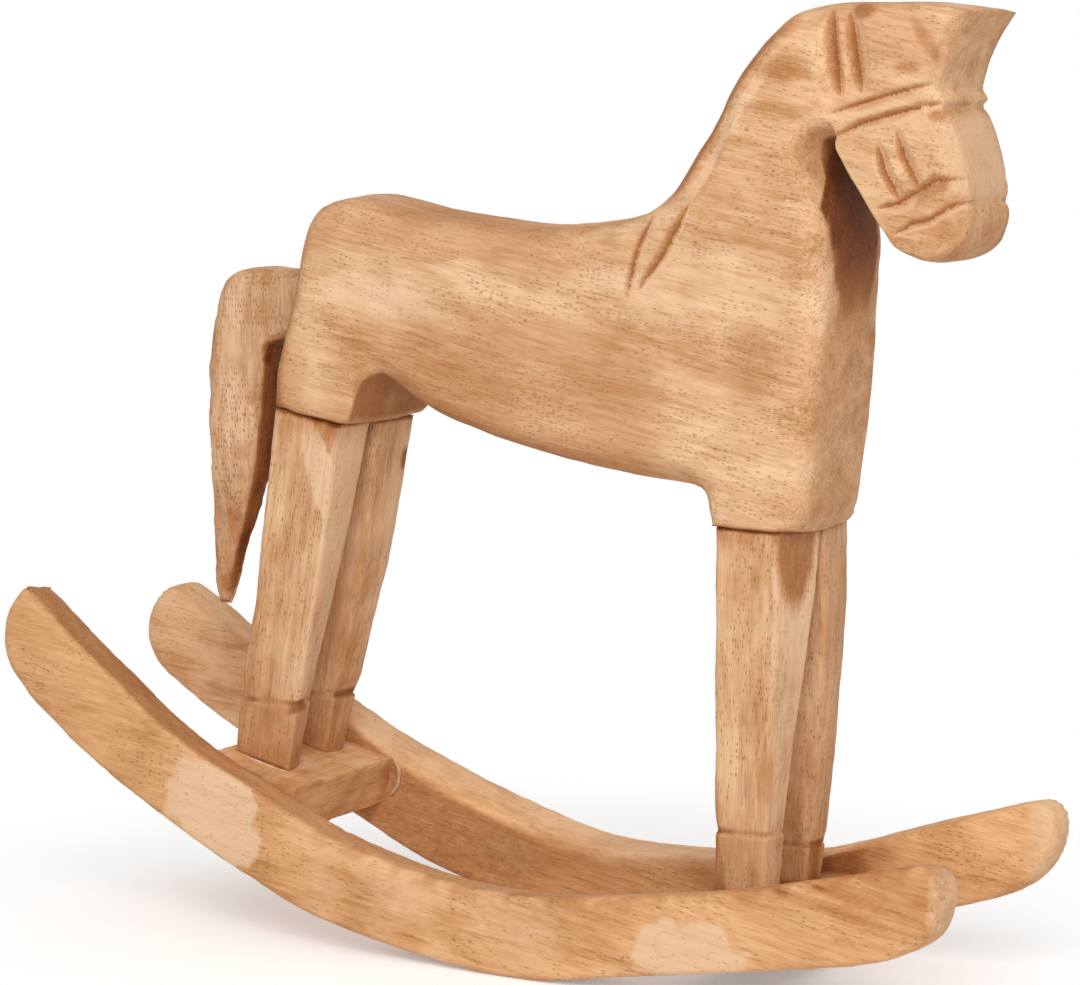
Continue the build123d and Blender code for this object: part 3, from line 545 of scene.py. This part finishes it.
for name, shape in legs.items():
    side, hoof = shape["side"], shape["hoof"]
    foot, crown = shape["rear"][0, 1], shape["rear"][-1, 1]

    def hoof_cut(z):
        """Outward step of the leg's skin at the hoof, so it is negative: cut in sharply just above the
        hoof line and easing back to nothing as a parabola."""
        over = z - hoof
        return -HOOF_CUT * np.clip(over / 0.9 + 0.5, 0, 1) * np.clip(1 - over / HOOF_EASE, 0, 1) ** 2

    def leg_depth(x, z, rim, face):
        """Distance of a leg's face from the horse's middle plane: inner and outer faces run straight
        from top to foot, with rounded edges and the hoof's step."""
        rise = np.clip((z - foot) / (crown - foot), 0, 1)
        inner = LEG_FOOT_IN + (LEG_TOP_IN - LEG_FOOT_IN) * rise
        outer = LEG_FOOT_OUT + (LEG_TOP_OUT - LEG_FOOT_OUT) * rise
        half = rounded((outer - inner) / 2 + hoof_cut(z), LEG_EDGE, rim)
        return face * side * (inner + outer) / 2 + half - 0.3 * gouged(x, z, 9, 34, shape["seed"])

    rows = np.linspace(0, 1, LEG_ROWS)
    fore, aft = (walk(line, rows * lengths(line)[-1]) for line in (shape["front"], shape["rear"]))
    fore[:, 0] += shape["nick"] * hoof_cut(fore[:, 1])
    aft[:, 0] -= hoof_cut(aft[:, 1])
    foot_line, top_line = np.linspace(fore[0], aft[0], 40), np.linspace(fore[-1], aft[-1], 40)
    ties = [(fore[k], aft[k]) for k in range(0, LEG_ROWS, TIE_STEP)]
    points, faces = plank(fore, aft, foot_line, top_line, ties, leg_depth, (190, 32, 26), crown=0.3)
    x, y, z = points.T
    rise = np.clip((z - foot) / (crown - foot), 0, 1)
    front_x, rear_x = (np.interp(z, line[:, 1], line[:, 0]) for line in (fore, aft))
    ahead = np.clip((x - rear_x) / (front_x - rear_x), 0, 1)
    slant = shape["slant"][1] + (shape["slant"][0] - shape["slant"][1]) * rise
    points[:, 0] += slant * (side * y - (LEG_TOP_IN + LEG_TOP_OUT) / 2 - 3 * (1 - rise)) * ahead
    points = uneven(uneven(points, 38, 0.4, shape["seed"]), 9, 0.15, 5)
    x, y, z = points.T
    facing = ramp(ahead, 0.9, 0.985)
    seam = crown + (fore[-1, 1] - crown) * ahead
    soaked_and_shaded = {
        "hoof": 0.2 * ramp(z, hoof + 3, hoof - 3),
        # The thin dark line just above the hoof is painted shade in the hoof's cut.
        "hoof line": 0.4 * ramp(np.abs(z - hoof - 0.9), 1.6, 0.4) * ramp(waver(points, 12, 4), -0.7, 0.4),
        "sole": 0.12 * ramp(z, foot + 8, foot + 1),
        "lower leg": 0.06 * ramp(z, 130, 70),
        "long streaks": 0.2 * ramp(waver(points * (1, 1, 0.25), 9, shape["seed"]), 0.35, 0.9),
        "top": 0.3 * ramp(z, crown - 8 - 6 * ahead, crown - 4.5) * ramp(waver(points, 9, 2), -0.6, 0.5),
        "seam": 0.5 * ramp(seam - z, 2.0, 0.6)}
    stain = sum(soaked_and_shaded.values())
    # The front faces of the near legs are painted paler above the hoof: painted light, for the light they
    # catch.
    sanded = 0.6 * facing * (side < 0) * ramp(z, foot + 24, foot + 36)
    if name == "leg_front_right":
        tongue = patch(side * y, z, (15.5, 166), 13, 36, 0.3)
        stain = np.maximum(stain, 0.5 * facing * tongue)
        sanded = sanded * (1 - tongue)
    if name == "leg_front_left":
        # shade is painted shade on this far leg's front face, darker at its inner part by the hoof, and
        # hoof_line is a painted shadow along the hoof's cut.
        shade = 0.2 + 0.4 * ramp(side * y, 20, 14) * ramp(z, hoof + 4, hoof - 1)
        hoof_line = ramp(np.abs(z - hoof - 1), 2.6, 0.8) * ramp(side * y, 20, 17)
        stain = np.maximum(stain, facing * np.maximum(shade, 0.75 * hoof_line))
    if name == "leg_rear_right":
        bare = patch(x + 0.18 * (z - 172), z, (-74, 173), 7, 21, 0.3)
        sanded = sanded + 0.75 * ramp(side * y, 22, 24.5) * bare
        # A slanting dark line along the hoof's cut on the front: painted shade in the cut.
        hoof_notch_shade = ramp(np.abs(z - hoof + 10 * (1 - ahead)), 3.5, 0.6)
        stain = stain + 0.5 * hoof_notch_shade * ramp(ahead, 0.7, 1) * ramp(side * y, 14, 18)
        stain = np.maximum(stain, 0.3 * facing * ramp(z, hoof, hoof - 6))
    if name == "leg_rear_left":
        stain = stain + 0.6 * patch(y, z, (23, 174), 4, 6.5) * facing
        stain = np.maximum(stain, 0.5 * facing * ramp(side * y, 17, 12) * ramp(z, 130, 70))
        # The dark line at the hoof is painted shade in the hoof's cut.
        stain = np.maximum(stain, 0.7 * facing * ramp(np.abs(z - hoof - 1), 3.2, 0.8))
    grain = (0, radians(90 - shape["lean"]), 0)
    material = wood(name + "_wood", LEG_LIGHT, LEG_DARK, grain, (shape["seed"], 0.3, 0.7), 0.42, 0.45)
    piece(name, points, faces, material, "leg_wood", [name], sanded=sanded, stain=stain)
peg = wood("peg_wood", LEG_LIGHT, LEG_DARK, (0, radians(90), 0))
for name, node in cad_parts.items():
    if "dowel" in name:
        node.data.materials.clear()
        node.data.materials.append(peg)


# Glue: whitish wood glue pressed out of the joints, left to dry as thin uneven beads round the
# rear feet, beside a front foot and down the end of the rear bar.
GLUE_LIGHT, GLUE_DARK = (0.76, 0.54, 0.36), (0.56, 0.34, 0.19)
BEAD_STEPS, BEAD_EASE = 60, 6
glue = wood("dried_glue", GLUE_LIGHT, GLUE_DARK, pores=0.1)


def bead(path, radius, seed, count=14):
    """Round bead carried along a path that is smoothed by a running mean: its circle stands square to
    the path, and its radius swells and shrinks by a waver and closes almost to nothing at both ends."""
    p = np.array(path, float)
    s = lengths(p)
    at = np.linspace(0, s[-1], BEAD_STEPS)
    tracks = [np.pad(np.interp(at, s, p[:, k]), BEAD_EASE, "edge") for k in range(3)]
    mean = np.ones(2 * BEAD_EASE + 1) / (2 * BEAD_EASE + 1)
    line = np.stack([np.convolve(track, mean, "valid") for track in tracks], -1)
    ahead = np.gradient(line, axis=0)
    ahead /= np.linalg.norm(ahead, axis=1)[:, None]
    across = np.cross(ahead, (0.1, 0.2, 1))
    across /= np.linalg.norm(across, axis=1)[:, None]
    up = np.cross(across, ahead)
    swell = np.sqrt(np.sin(np.linspace(0, pi, BEAD_STEPS)).clip(0.0004))
    size = radius * swell * (1 + 0.35 * waver(line, 6, seed))
    angle = np.linspace(0, 2 * pi, count, endpoint=False)
    wide, tall = np.cos(angle)[:, None] * across[:, None], np.sin(angle)[:, None] * up[:, None]
    points = line[:, None] + size[:, None, None] * (wide + tall)
    index = np.arange(BEAD_STEPS * count).reshape(BEAD_STEPS, count)
    after = np.roll(index, -1, 1)
    wall = np.stack([index[:-1], after[:-1], after[1:], index[1:]], -1).reshape(-1, 4)
    fan = np.arange(1, count - 2, 2)
    cap = np.stack([0 * fan, fan, fan + 1, fan + 2], -1)
    return points.reshape(-1, 3), np.vstack([wall, cap[:, ::-1], index[-1, 0] + cap])


def on_bar(name, *spots):
    """Points on a bar's top at places (x, y)."""
    top, tilt = bar_tops[name]
    return [(x, y, top[1] - np.tan(radians(tilt)) * (x - top[0])) for x, y in spots]


REAR_RIGHT_GLUE = (-114, -23), (-104, -23.6), (-94, -23.4), (-90.4, -21), (-90.9, -12)
REAR_LEFT_GLUE = (-95.5, 9.5), (-94.6, 15), (-94.8, 22)
FRONT_RIGHT_GLUE = (84, -31.5), (86.5, -28), (87.8, -23)
BAR_END_GLUE = (-79.4, 32.4, 56), (-76.4, 32.6, 50.5), (-77.2, 32.6, 44.5), (-81.5, 32.4, 39.5)
beads = {"glue_rear_right": (on_bar("crossbar_rear", *REAR_RIGHT_GLUE), 0.7),
         "glue_rear_left": (on_bar("crossbar_rear", *REAR_LEFT_GLUE), 0.7),
         "glue_front_right": (on_bar("crossbar_front", *FRONT_RIGHT_GLUE), 0.6),
         "glue_bar_end": (BAR_END_GLUE, 0.9)}
for seed, (name, (path, radius)) in enumerate(beads.items()):
    points, faces = bead(path, radius, 60 + seed)
    piece(name, points, faces, glue, "wood_filler")


# Body: torso, neck and head are one thick plank, sawn to the side outline and then carved with
# knife and gouge: rounded back, notched flank, scooped throat, bevelled mane and a face of cut
# lines, with dark wax left in the hollows. Painted shade darkens the throat, the flank's notch, the
# cuts, the rump's rear edge, the top of the back and the chest, and a painted sheen lights the flank.
BODY_LIGHT, BODY_DARK = (0.88, 0.585, 0.355), (0.51, 0.24, 0.088)
BODY_HALF, POLL_HALF, HEAD_HALF, BELLY_IN = 27.3, 24.6, 22.6, 1.2
BACK_ROUND, RUMP_ROUND, SCOOP_STEEP, SCOOP_DEEP = 15, 8, 1.3, 11
HEWN_DEEP, WHITTLED_DEEP, CUT_FROM, JAW_FROM = 0.35, 0.45, 13, 18
thigh_seam = np.linspace((-94.4, 196), (-65, 191.3), 20)
belly = curve((-64.4, 191.2), (-61, 191.6), (-59, 194), (-57.2, 200), (-54.6, 206), (-51, 209.4),
              (-46, 207.6), (-38.5, 202.6), (-29, 197.2), (-13.3, 192.2), (0.6, 187.9), (24, 183),
              (47.2, 179.3), (64.9, 177.2), (79, 176.2), (84, 174.4), (90, 163.4))
shoulder_seam = np.linspace((90.6, 163.2), (120.6, 162.2), 20)
breast = curve((121.2, 162.5), (123.6, 171), (125.4, 185), (127.4, 201), (129, 223), (130.4, 247),
               (130.4, 262), (129, 274), (127.2, 284), (126.4, 291), (128, 295.8), (131.2, 296.2),
               (135.3, 289.4), (146, 273), (150.6, 266.6), (155, 261.2), (160, 257.9), (166, 256.5),
               (172, 258.2), (177, 262.4), (179.6, 268.3))
body_low = np.vstack([thigh_seam, belly, shoulder_seam, breast])
body_high = curve((-84, 252.5), (-81, 262.6), (-74.5, 270.8), (-64, 274.2), (-52, 272.4), (-41, 269.9),
                  (-24, 267.6), (9.4, 264.6), (26, 265), (41, 266.8), (52, 269.3), (60.4, 272.4),
                  (68.6, 278.3), (75.8, 286), (80.9, 295.2), (88.8, 308.6), (96.7, 319.7), (104.5, 330),
                  (112.3, 336.5), (119, 341), (130, 342.6), (149, 342.4), (165, 341.8), (181, 339.8))
body_rear = curve((-94.4, 196), (-93.9, 206), (-92.4, 217), (-90, 228), (-87.6, 238), (-84, 252.5))
body_front = np.vstack([
    curve((179.6, 268.3), (180, 272), (179.2, 275.4)),
    curve((179.2, 276.8), (179.6, 280.5), (178.8, 286), (177.2, 292.5), (175, 299.5), (172.6, 304.4),
          (170.2, 307.2)),
    curve((170.2, 308.4), (171.4, 310.6), (169.2, 313.6)),
    curve((169.2, 314.8), (170.2, 318.6), (172.2, 325), (175.6, 332.2), (179, 337.4), (181, 339.8))])
body_ties = [((-94.4, 196), (-84, 252.5)), ((-61, 191.6), (-66, 274)), ((-51, 209.4), (-53, 272.6)),
             ((0.6, 187.9), (-5, 265.6)), ((64.9, 177.2), (38, 266.4)), ((90.6, 163.2), (52, 269.3)),
             ((121.2, 162.5), (63, 274.2)), ((128.6, 215), (74, 284)), ((130.4, 250), (88, 307.5)),
             ((127, 288), (110, 335)), ((131.2, 296.2), (128, 342.5)), ((146, 273), (147, 342.2)),
             ((163, 257), (165, 341.8)), ((179.6, 268.3), (181, 339.8))]
body_spread = (0, 0.48, 1), (0, 0.76, 1)
# each cut has its line, its width on the right and on the left hand, and its depth
FACE_CUTS = {
    "halter_rear": (((131.7, 340.5), (132.6, 328.3), (134.7, 311.6)), 4.4, 2.0, 2.6),
    "halter_front": (((138.1, 339.5), (139.8, 328.2), (142.8, 312.4)), 4.0, 4.6, 2.8),
    "strap_top": (((131.4, 305.6), (148.7, 310.7), (168, 315.6)), 5.0, 2.2, 2.0),
    "strap_low": (((131.8, 297.2), (142.5, 302.2), (157.5, 306.1), (170, 309.2)), 3.6, 2.8, 2.4),
    "cheek_rear": (((148.8, 295.2), (151.6, 286.1), (157, 277.2)), 3.0, 2.8, 2.2),
    "cheek_front": (((155.5, 299.8), (158.4, 291.4), (164.6, 280.2)), 2.8, 3.0, 2.2),
    "muzzle": (((148.6, 273.8), (155.8, 275.4), (164.6, 280.3), (169, 283), (179, 284)), 4.4, 2.6, 2.4),
    "mouth": (((155, 265.2), (161.6, 268.8), (168, 270.4), (176, 275.4), (182, 276.6)), 2.4, 2.4, 1.9),
    "withers": (((64.3, 270), (60.3, 257.3), (56.3, 241.9)), 2.8, 2.4, 1.0),
    "mane_end": (((80, 274), (70.7, 256.5), (61, 244.5)), 4.0, 2.4, 0.9)}
UPRIGHT_CUTS = "halter_rear", "halter_front", "cheek_rear", "cheek_front", "withers", "mane_end"
THROAT_EDGE = curve((126, 302), (121.6, 298.6), (119.6, 294.4), (120.2, 290), (123.9, 282.7),
                    (128.4, 274.8), (132, 266))
JAW_EDGE = np.array([(131.5, 296), (135.3, 289.4), (146, 273), (150.6, 266.6)])


def cut(x, z, line, right, left, deep):
    """Knife-cut groove along a line: how deep it is at a place, deepest on the line and rising
    straight to nothing at its width on the right and on the left hand. Width and depth swell from
    both ends like a leaf. It is the mean of four places close by, so that no edge is sharper than
    the grid. Also on which hand the place lies."""
    line = np.array(line, float)
    depth = np.zeros(x.shape)
    for dx, dz in ((0.5, 0.2), (-0.2, 0.5), (-0.5, -0.2), (0.2, -0.5)):
        off, along, hand = reach(line, x + dx, z + dz)
        share = along / lengths(line)[-1]
        leaf = 0.3 + 0.7 * np.sqrt(np.clip(5 * share * (1 - share), 0, 1))
        depth += deep * leaf * np.clip(1 - off / leaf / np.where(hand > 0, left, right), 0, 1) / 4
    return depth, reach(line, x, z)[2]


def scoop(x, z):
    """Scoop of the throat: how far a place lies inside its edge, 0 outside, and a weight that closes
    it off above, below and in front."""
    off, _, hand = reach(THROAT_EDGE, x, z)
    return np.where(hand > 0, off, 0), ramp(z, 262, 272) * ramp(z, 304, 298) * ramp(x, 133, 129)


def body_depth(x, z, rim, face):
    """Half width of the body: a board that narrows to the head and the muzzle, with edges rounded
    by a radius that differs along it, less the mane's bevel, the throat's scoop and the cuts."""
    head = ramp(x, 124, 133) * ramp(z, 250, 262)
    half = BODY_HALF + (POLL_HALF - BODY_HALF) * ramp(z, 255, 335) * ramp(x, 50, 80)
    half = half + (HEAD_HALF - half) * head
    half = half - BELLY_IN * ramp(z, 215, 180) * ramp(x, -45, -20) * ramp(x, 85, 60)
    mane = ramp(x, 56, 68) * ramp(x, 122, 112) * ramp(z, 264, 276)
    jaw = head * ramp(x, 162, 154) * ramp(z, 300, 293)
    face_front = head * ramp(x, 158, 164)
    chest = ramp(x, 100, 114) * ramp(z, 300, 280)
    thigh = ramp(x, -51, -55) * ramp(z, 213, 208)
    belly_notch = ramp(x, -54, -48) * ramp(x, -15, -35) * ramp(z, 222, 210)
    rump = ramp(x, -66, -76)
    lower = ramp(z, 232, 205)
    seam = np.maximum(thigh * ramp(x, -89, -84), ramp(z, 176, 169) * ramp(x, 84, 91) * ramp(x, 120, 112))
    radius = BACK_ROUND + (RUMP_ROUND - BACK_ROUND) * rump
    for weight, size in ((lower * (1 - rump), 10), (lower * rump, 4.5), (chest, 9), (mane, 4.5), (head, 5),
                         (jaw, 1.4), (belly_notch, 13), (thigh * (1 - rump), 2.6), (seam, 1.6)):
        radius = radius + (size - radius) * weight
    width = rounded(half, radius, rim)
    chamfer = 5.0 - 1.6 * ramp(z, 308, 316)
    flat = half - np.maximum(chamfer - rim, 0) - 0.25 * ramp(rim, 2, 0)
    width = width + (flat - width) * face_front * ramp(z, 259, 268) * ramp(341 - z, -1, 3)
    bevel = 6.5 + 6 * ramp(z, 318, 285)
    strokes = 1 + 0.35 * np.sin((x + z) / 7.5) * ramp(bevel - rim, 0, 2)
    width = width - mane * 0.45 * np.maximum(bevel - rim, 0) * strokes
    scooped, part = scoop(x, z)
    width = width - np.minimum(SCOOP_STEEP * scooped * part, SCOOP_DEEP)
    for line, right, left, deep in FACE_CUTS.values():
        width = width - cut(x, z, line, right, left, deep)[0]
    hewn = HEWN_DEEP * (1 - head) * gouged(x + 0.3 * z, z, 34, 13, 2.0)
    return width - hewn - WHITTLED_DEEP * head * gouged(x - 0.3 * z, z, 11, 9, 5.0)


points, faces = plank(body_low, body_high, body_rear, body_front, body_ties, body_depth, (328, 130, 12),
                      crown=0.8, edge=0.3, spread=body_spread)
points = uneven(uneven(points, 55, 0.45, 31), 11, 0.15, 32)
x, y, z = points.T
wide = np.abs(y)
edges = body_high[::8], body_rear[::6], body_front[::6], belly[:12 * LINE_STEPS:6], JAW_EDGE
crest, rear_edge, fringe, low_edge, jaw_edge = (reach(line, x, z)[0] for line in edges)
seams = np.minimum(reach(thigh_seam[::6], x, z)[0], reach(shoulder_seam[::6], x, z)[0])
over_belly = z - np.interp(x, *belly[:15 * LINE_STEPS].T)
over_back = z - np.interp(x, *body_high.T)
mane = ramp(x, 58, 70) * ramp(x, 118, 108) * ramp(z, 268, 280)
rubbed = {
    # The flank patch is a painted sheen where the light falls brightest on the side.
    "flank": 0.75 * patch(x, z + 0.1 * (x + 38), (-40, 238), 44, 15, 0.9),
    "shoulder": 0.45 * patch(x, z, (70, 250), 52, 42, 0.9),
    "nose": 0.85 * ramp(x, 169, 174) * ramp(z, 272, 284) * ramp(z, 309, 303),
    "temple": 0.3 * patch(x, z, (150, 328), 9, 8)}
sanded = np.maximum(sum(rubbed.values()), 0.55 * mane * ramp(np.abs(crest - 8.5), 2.8, 1.2))
sanded = np.maximum(sanded, 0.6 * ramp(jaw_edge, 2.6, 1.2) * (wide > JAW_FROM))
soaked_and_shaded = {
    "back": 0.25 * patch(x, z + 0.1 * x, (-8, 260), 92, 13),
    # spine darkens the top of the back: painted shade on the top.
    "spine": 0.12 * ramp(over_back, -5, -1) * ramp(x, 70, 50),
    # The rump's rear end and its rounded rear edge are darkened: painted shade where the surface turns away
    # from the light.
    "rump": 0.22 * ramp(x, -74, -88),
    "rump's corner": 0.2 * patch(x, z, (-74, 262), 14, 16),
    "rear edge": 0.26 * ramp(rear_edge, 7, 2),
    "thigh": 0.12 * ramp(z, 212, 196) * ramp(x, -50, -62),
    # The lower side grows darker towards the bottom, and the belly's rounded lower edge is painted shade
    # where it turns down away from the light.
    "lower side": 0.26 * ramp(z, 246, 212) * ramp(x, 90, 50) * ramp(x, -60, -20),
    "belly's edge": 0.14 * ramp(over_belly, 13, 2) * ramp(x, -45, -25) * ramp(x, 92, 80),
    "shoulder": 0.3 * patch(x, z, (104, 222), 13, 17),
    "shoulder's foot": 0.15 * ramp(z, 186, 172) * ramp(x, 92, 100),
    # The chest's front face is darkened: painted shade on the side turned from the light.
    "chest": 0.16 * ramp(wide, 24, 16) * ramp(x, 122, 127) * ramp(z, 262, 250),
    "neck": 0.42 * patch(x, z, (113, 320), 11, 7),
    "poll": 0.45 * patch(x, z, (112, 336), 10, 7) * ramp(wide, 9, 18),
    "crown": 0.4 * patch(x, z, (143, 340), 6, 4) * ramp(wide, 9, 18),
    "head": 0.12 * ramp(x, 128, 136) * ramp(z, 250, 262) * ramp(x, 172, 168),
    "brow": 0.26 * patch(x, z, (159, 321), 7, 3),
    "brow's edge": 0.25 * patch(x + 0.6 * (z - 330), z, (166, 330), 4, 10),
    "forelock": 0.14 * ramp(z, 314, 320) * ramp(x, 162, 168) * ramp(fringe, 6, 2),
    "strap's end": 0.3 * patch(x, z, (169, 305), 4, 3),
    "nose": 0.15 * ramp(x, 168, 173) * ramp(z, 309, 303)}
throat_half = np.interp(z, (235, 255, 265, 274, 284, 300), (13, 16.5, 19, 23, 15.5, 14.5))
throat = ramp(z, 212, 264) * ramp(z, 300, 296) * ramp(x, 122, 127) * ramp(x, 142, 136)
scooped, part = scoop(x, z)
waxed_and_shaded = {
    "mane": 0.52 * mane * ramp(crest, 6, 2.5) * ramp(wide, 9, 15),
    # The flank's notch and its wall are darkened: a dark stain and painted shade in the hollow.
    "notch's wall": 0.54 * ramp(low_edge, 1.8, 0.4) * ramp(x, -62, -59) * ramp(x, -34, -50),
    "notch": 0.4 * ramp(low_edge, 9, 1) * ramp(z, 214, 208) * ramp(x, -60, -57) * ramp(x, -18, -46),
    "seams": 0.5 * ramp(seams, 1.7, 0.5),
    # The throat is painted shadow under the jaw over a dark stain, and the scoop darkens as it deepens into
    # that shade.
    "throat": 0.92 * throat * ramp(wide, throat_half + 1.5, throat_half - 1),
    "scoop": part * ramp(scooped, 0.2, 1.5) * (0.24 + 0.6 * ramp(scooped, 8, 12))}
stain = np.maximum.reduce([sum(soaked_and_shaded.values()), *waxed_and_shaded.values()])
# Cut lines: the wall turned from the light and the groove's bottom are painted shade over dark wax, and the
# other wall is painted light.
for name, (line, right, left, _) in FACE_CUTS.items():
    depth, hand = cut(x, z, line, right, left, 1.0)
    shaded = hand < 0 if name in UPRIGHT_CUTS else hand > 0
    groove = np.where(shaded, 0.42, 0.04) * ramp(depth, 0.0, 0.4) + 0.26 * ramp(depth, 0.4, 0.95)
    if name == "muzzle":
        groove = np.maximum(groove, 0.4 * ramp(depth, 0.0, 0.2) * ramp(x, 159, 164) * ramp(x, 177, 173))
    lit_wall = np.where(shaded, 0, 0.75) * ramp(depth, 0.0, 0.25) * ramp(depth, 0.85, 0.4)
    stain = np.maximum(stain, groove * (wide > CUT_FROM))
    sanded = np.maximum(sanded, lit_wall * (wide > CUT_FROM))
material = wood("body_wood", BODY_LIGHT, BODY_DARK, (0, radians(-11), 0), (0.1, 0.2, 0.9), 0.5, 0.35)
piece("body", points, faces, material, "body_wood", ["body"], sanded=sanded, stain=stain)


# Tail: one bent piece whittled from a forked billet, rough all over. Its stub is pegged and glued
# to the flat of the rump, and it hangs from a round elbow in a long taper.
TAIL_LIGHT, TAIL_DARK = (0.84, 0.54, 0.325), (0.42, 0.19, 0.07)
TAIL_HALF, TAIL_TIP_HALF, TAIL_EDGE, TAIL_RIDGE = 9.6, 4.6, 3.8, 1.2
hang = curve((-132.8, 116.8), (-129.2, 126), (-124.6, 141), (-119.4, 156), (-115.6, 170), (-112.8, 184),
             (-111, 198), (-109.8, 212))
stub = curve((-108, 217.4), (-101, 221), (-91, 222.4))
tail_in = np.vstack([hang, stub])
tail_out = curve((-137.2, 116.8), (-138.6, 124), (-138.6, 134), (-137.8, 157), (-138, 180),
                 (-137.6, 203), (-136.4, 214.8), (-134.6, 226.4), (-131.6, 237.4), (-125.8, 243.4),
                 (-117, 246), (-107, 246.2), (-89, 245))
tail_ties = [((-132.8, 116.8), (-137.2, 116.8)), ((-119.4, 156), (-137.8, 157)),
             ((-111, 198), (-137.6, 205)), ((-109, 216), (-127, 242.4)), ((-91, 222.4), (-89, 245))]


def tail_depth(x, z, rim, face):
    """Half width of the tail: it narrows to the tip, with rounded edges, a soft ridge along the
    middle of each side and short knife strokes."""
    half = TAIL_HALF + (TAIL_TIP_HALF - TAIL_HALF) * ramp(z, 200, 112)
    ridged = rounded(half - TAIL_RIDGE, TAIL_EDGE, rim) + TAIL_RIDGE * ramp(rim, 1, 9)
    return ridged - 0.4 * gouged(x, z, 6, 17, 4.0)


tip, root = np.linspace(tail_in[0], tail_out[0], 20), np.linspace(tail_in[-1], tail_out[-1], 20)
points, faces = plank(tail_in, tail_out, tip, root, tail_ties, tail_depth, (240, 34, 20), crown=0.8)
points = uneven(uneven(points, 26, 0.5, 41), 6, 0.22, 42)
x, y, z = points.T
from_inside = x - np.interp(z, tail_in[:, 1], tail_in[:, 0])
# The tail's inner face, in the crevice by the rump, and the crook under its stub are darkened: a dark stain
# with painted shade.
stain = 0.74 * ramp(from_inside, -2.2, -0.6) * ramp(z, 221, 217) * ramp(z, 116, 140)
stain = np.maximum(stain, 0.75 * patch(x, z, (-104, 216), 9, 6)) + 0.22 * ramp(z, 165, 125)
stain = stain + 0.25 * ramp(waver(points * (1, 1, 0.4), 8, 43), 0.1, 0.8)
material = wood("tail_wood", TAIL_LIGHT, TAIL_DARK, (0, radians(90), 0), (0.4, 0.6, 0.2), 0.6, 0.55)
piece("tail", points, faces, material, "tail_wood", ["tail"], stain=stain)


# Studio: a pale floor that fades to the white of the backdrop, one broad soft light above the
# camera and a weak even light from everywhere.
TURN, RAISE, AWAY = radians(30), radians(6.7), 1.2775
AIM = np.array([0.0109, 0.0, 0.1674])
IMAGE_WIDE, FOCAL_PIXELS, SENSOR = 1080, 3500, 36
KEY_RAISE, KEY_AWAY, KEY_SIZE, KEY_WATTS = radians(32), 1.6, 1.1, 15
WHITE, WARM, PAPER = (1, 1, 1, 1), (1, 0.98, 0.96, 1), (0.92, 0.92, 0.92, 1)
EVEN, FLOOR_GLOW, FLOOR_REACH, FADE_FROM, FADE_TO = 0.56, 0.26, 3.0, 0.12, 0.3


def shown_rays(tree):
    """1 for the rays that show the white ground, which are those of the camera, of glass and of gloss,
    and 0 for the rays that light the object."""
    rays = add_node(tree, "LightPath").outputs
    seen = rays["Is Camera Ray"]
    for kind in ("Is Transmission Ray", "Is Glossy Ray"):
        seen = add_node(tree, "Math", (0, seen), (1, rays[kind]), operation="MAXIMUM").outputs[0]
    return seen


def place_round(raised, away):
    """Place at a distance from the aim, turned as the photograph is and raised above the level."""
    return AIM + away * np.array([sin(TURN) * cos(raised), -cos(TURN) * cos(raised), sin(raised)])


scene = bpy.context.scene
world = bpy.data.worlds.new("studio")
scene.world = world
world.use_nodes = True
tree = world.node_tree
tree.nodes.clear()
even = add_node(tree, "Background", ("Color", WARM), ("Strength", EVEN)).outputs[0]
white = add_node(tree, "Background", ("Color", WHITE), ("Strength", 1.0)).outputs[0]
mixed = add_node(tree, "MixShader", (0, shown_rays(tree)), (1, even), (2, white)).outputs[0]
add_node(tree, "OutputWorld", ("Surface", mixed))

floor_mesh = bpy.data.meshes.new("floor")
corners = [(a * FLOOR_REACH, b * FLOOR_REACH, 0) for a, b in ((-1, -1), (1, -1), (1, 1), (-1, 1))]
floor_mesh.from_pydata(corners, [], [(0, 1, 2, 3)])
floor = bpy.data.objects.new("floor", floor_mesh)
scene.collection.objects.link(floor)
paper = bpy.data.materials.new("paper")
paper.use_nodes = True
tree = paper.node_tree
sheet = tree.nodes["Principled BSDF"]
sheet.inputs["Base Color"].default_value = PAPER
sheet.inputs["Roughness"].default_value = 0.9
sheet.inputs["Specular IOR Level"].default_value = 0.0
sheet.inputs["Emission Color"].default_value = WHITE
shown = shown_rays(tree)
lift = add_node(tree, "Math", (0, shown), (1, FLOOR_GLOW), operation="MULTIPLY").outputs[0]
tree.links.new(lift, sheet.inputs["Emission Strength"])
spot = add_node(tree, "TexCoord").outputs["Object"]
away = add_node(tree, "VectorMath", (0, spot), operation="LENGTH").outputs["Value"]
fade = add_node(tree, "MapRange", ("Value", away), ("From Min", FADE_FROM), ("From Max", FADE_TO))
share = add_node(tree, "Math", (0, fade.outputs["Result"]), (1, shown), operation="MULTIPLY").outputs[0]
glow = add_node(tree, "Emission", ("Strength", 1.0)).outputs[0]
mixed = add_node(tree, "MixShader", (0, share), (1, sheet.outputs[0]), (2, glow)).outputs[0]
tree.links.new(mixed, tree.nodes["Material Output"].inputs["Surface"])
floor_mesh.materials.append(paper)

lamp = bpy.data.lights.new("key", "AREA")
lamp.size = KEY_SIZE
lamp.energy = KEY_WATTS
key = bpy.data.objects.new("key", lamp)
key.location = place_round(KEY_RAISE, KEY_AWAY)
key.rotation_euler = (pi / 2 - KEY_RAISE, 0, TURN)
scene.collection.objects.link(key)
lens = bpy.data.cameras.new("camera")
lens.lens = SENSOR * FOCAL_PIXELS / IMAGE_WIDE
lens.sensor_width = SENSOR
lens.clip_end = 20
camera = bpy.data.objects.new("camera", lens)
camera.location = place_round(RAISE, AWAY)
camera.rotation_euler = (pi / 2 - RAISE, 0, TURN)
scene.collection.objects.link(camera)
scene.camera = camera
scene.view_settings.view_transform = "Standard"
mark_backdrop(floor, key, camera)

low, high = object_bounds()
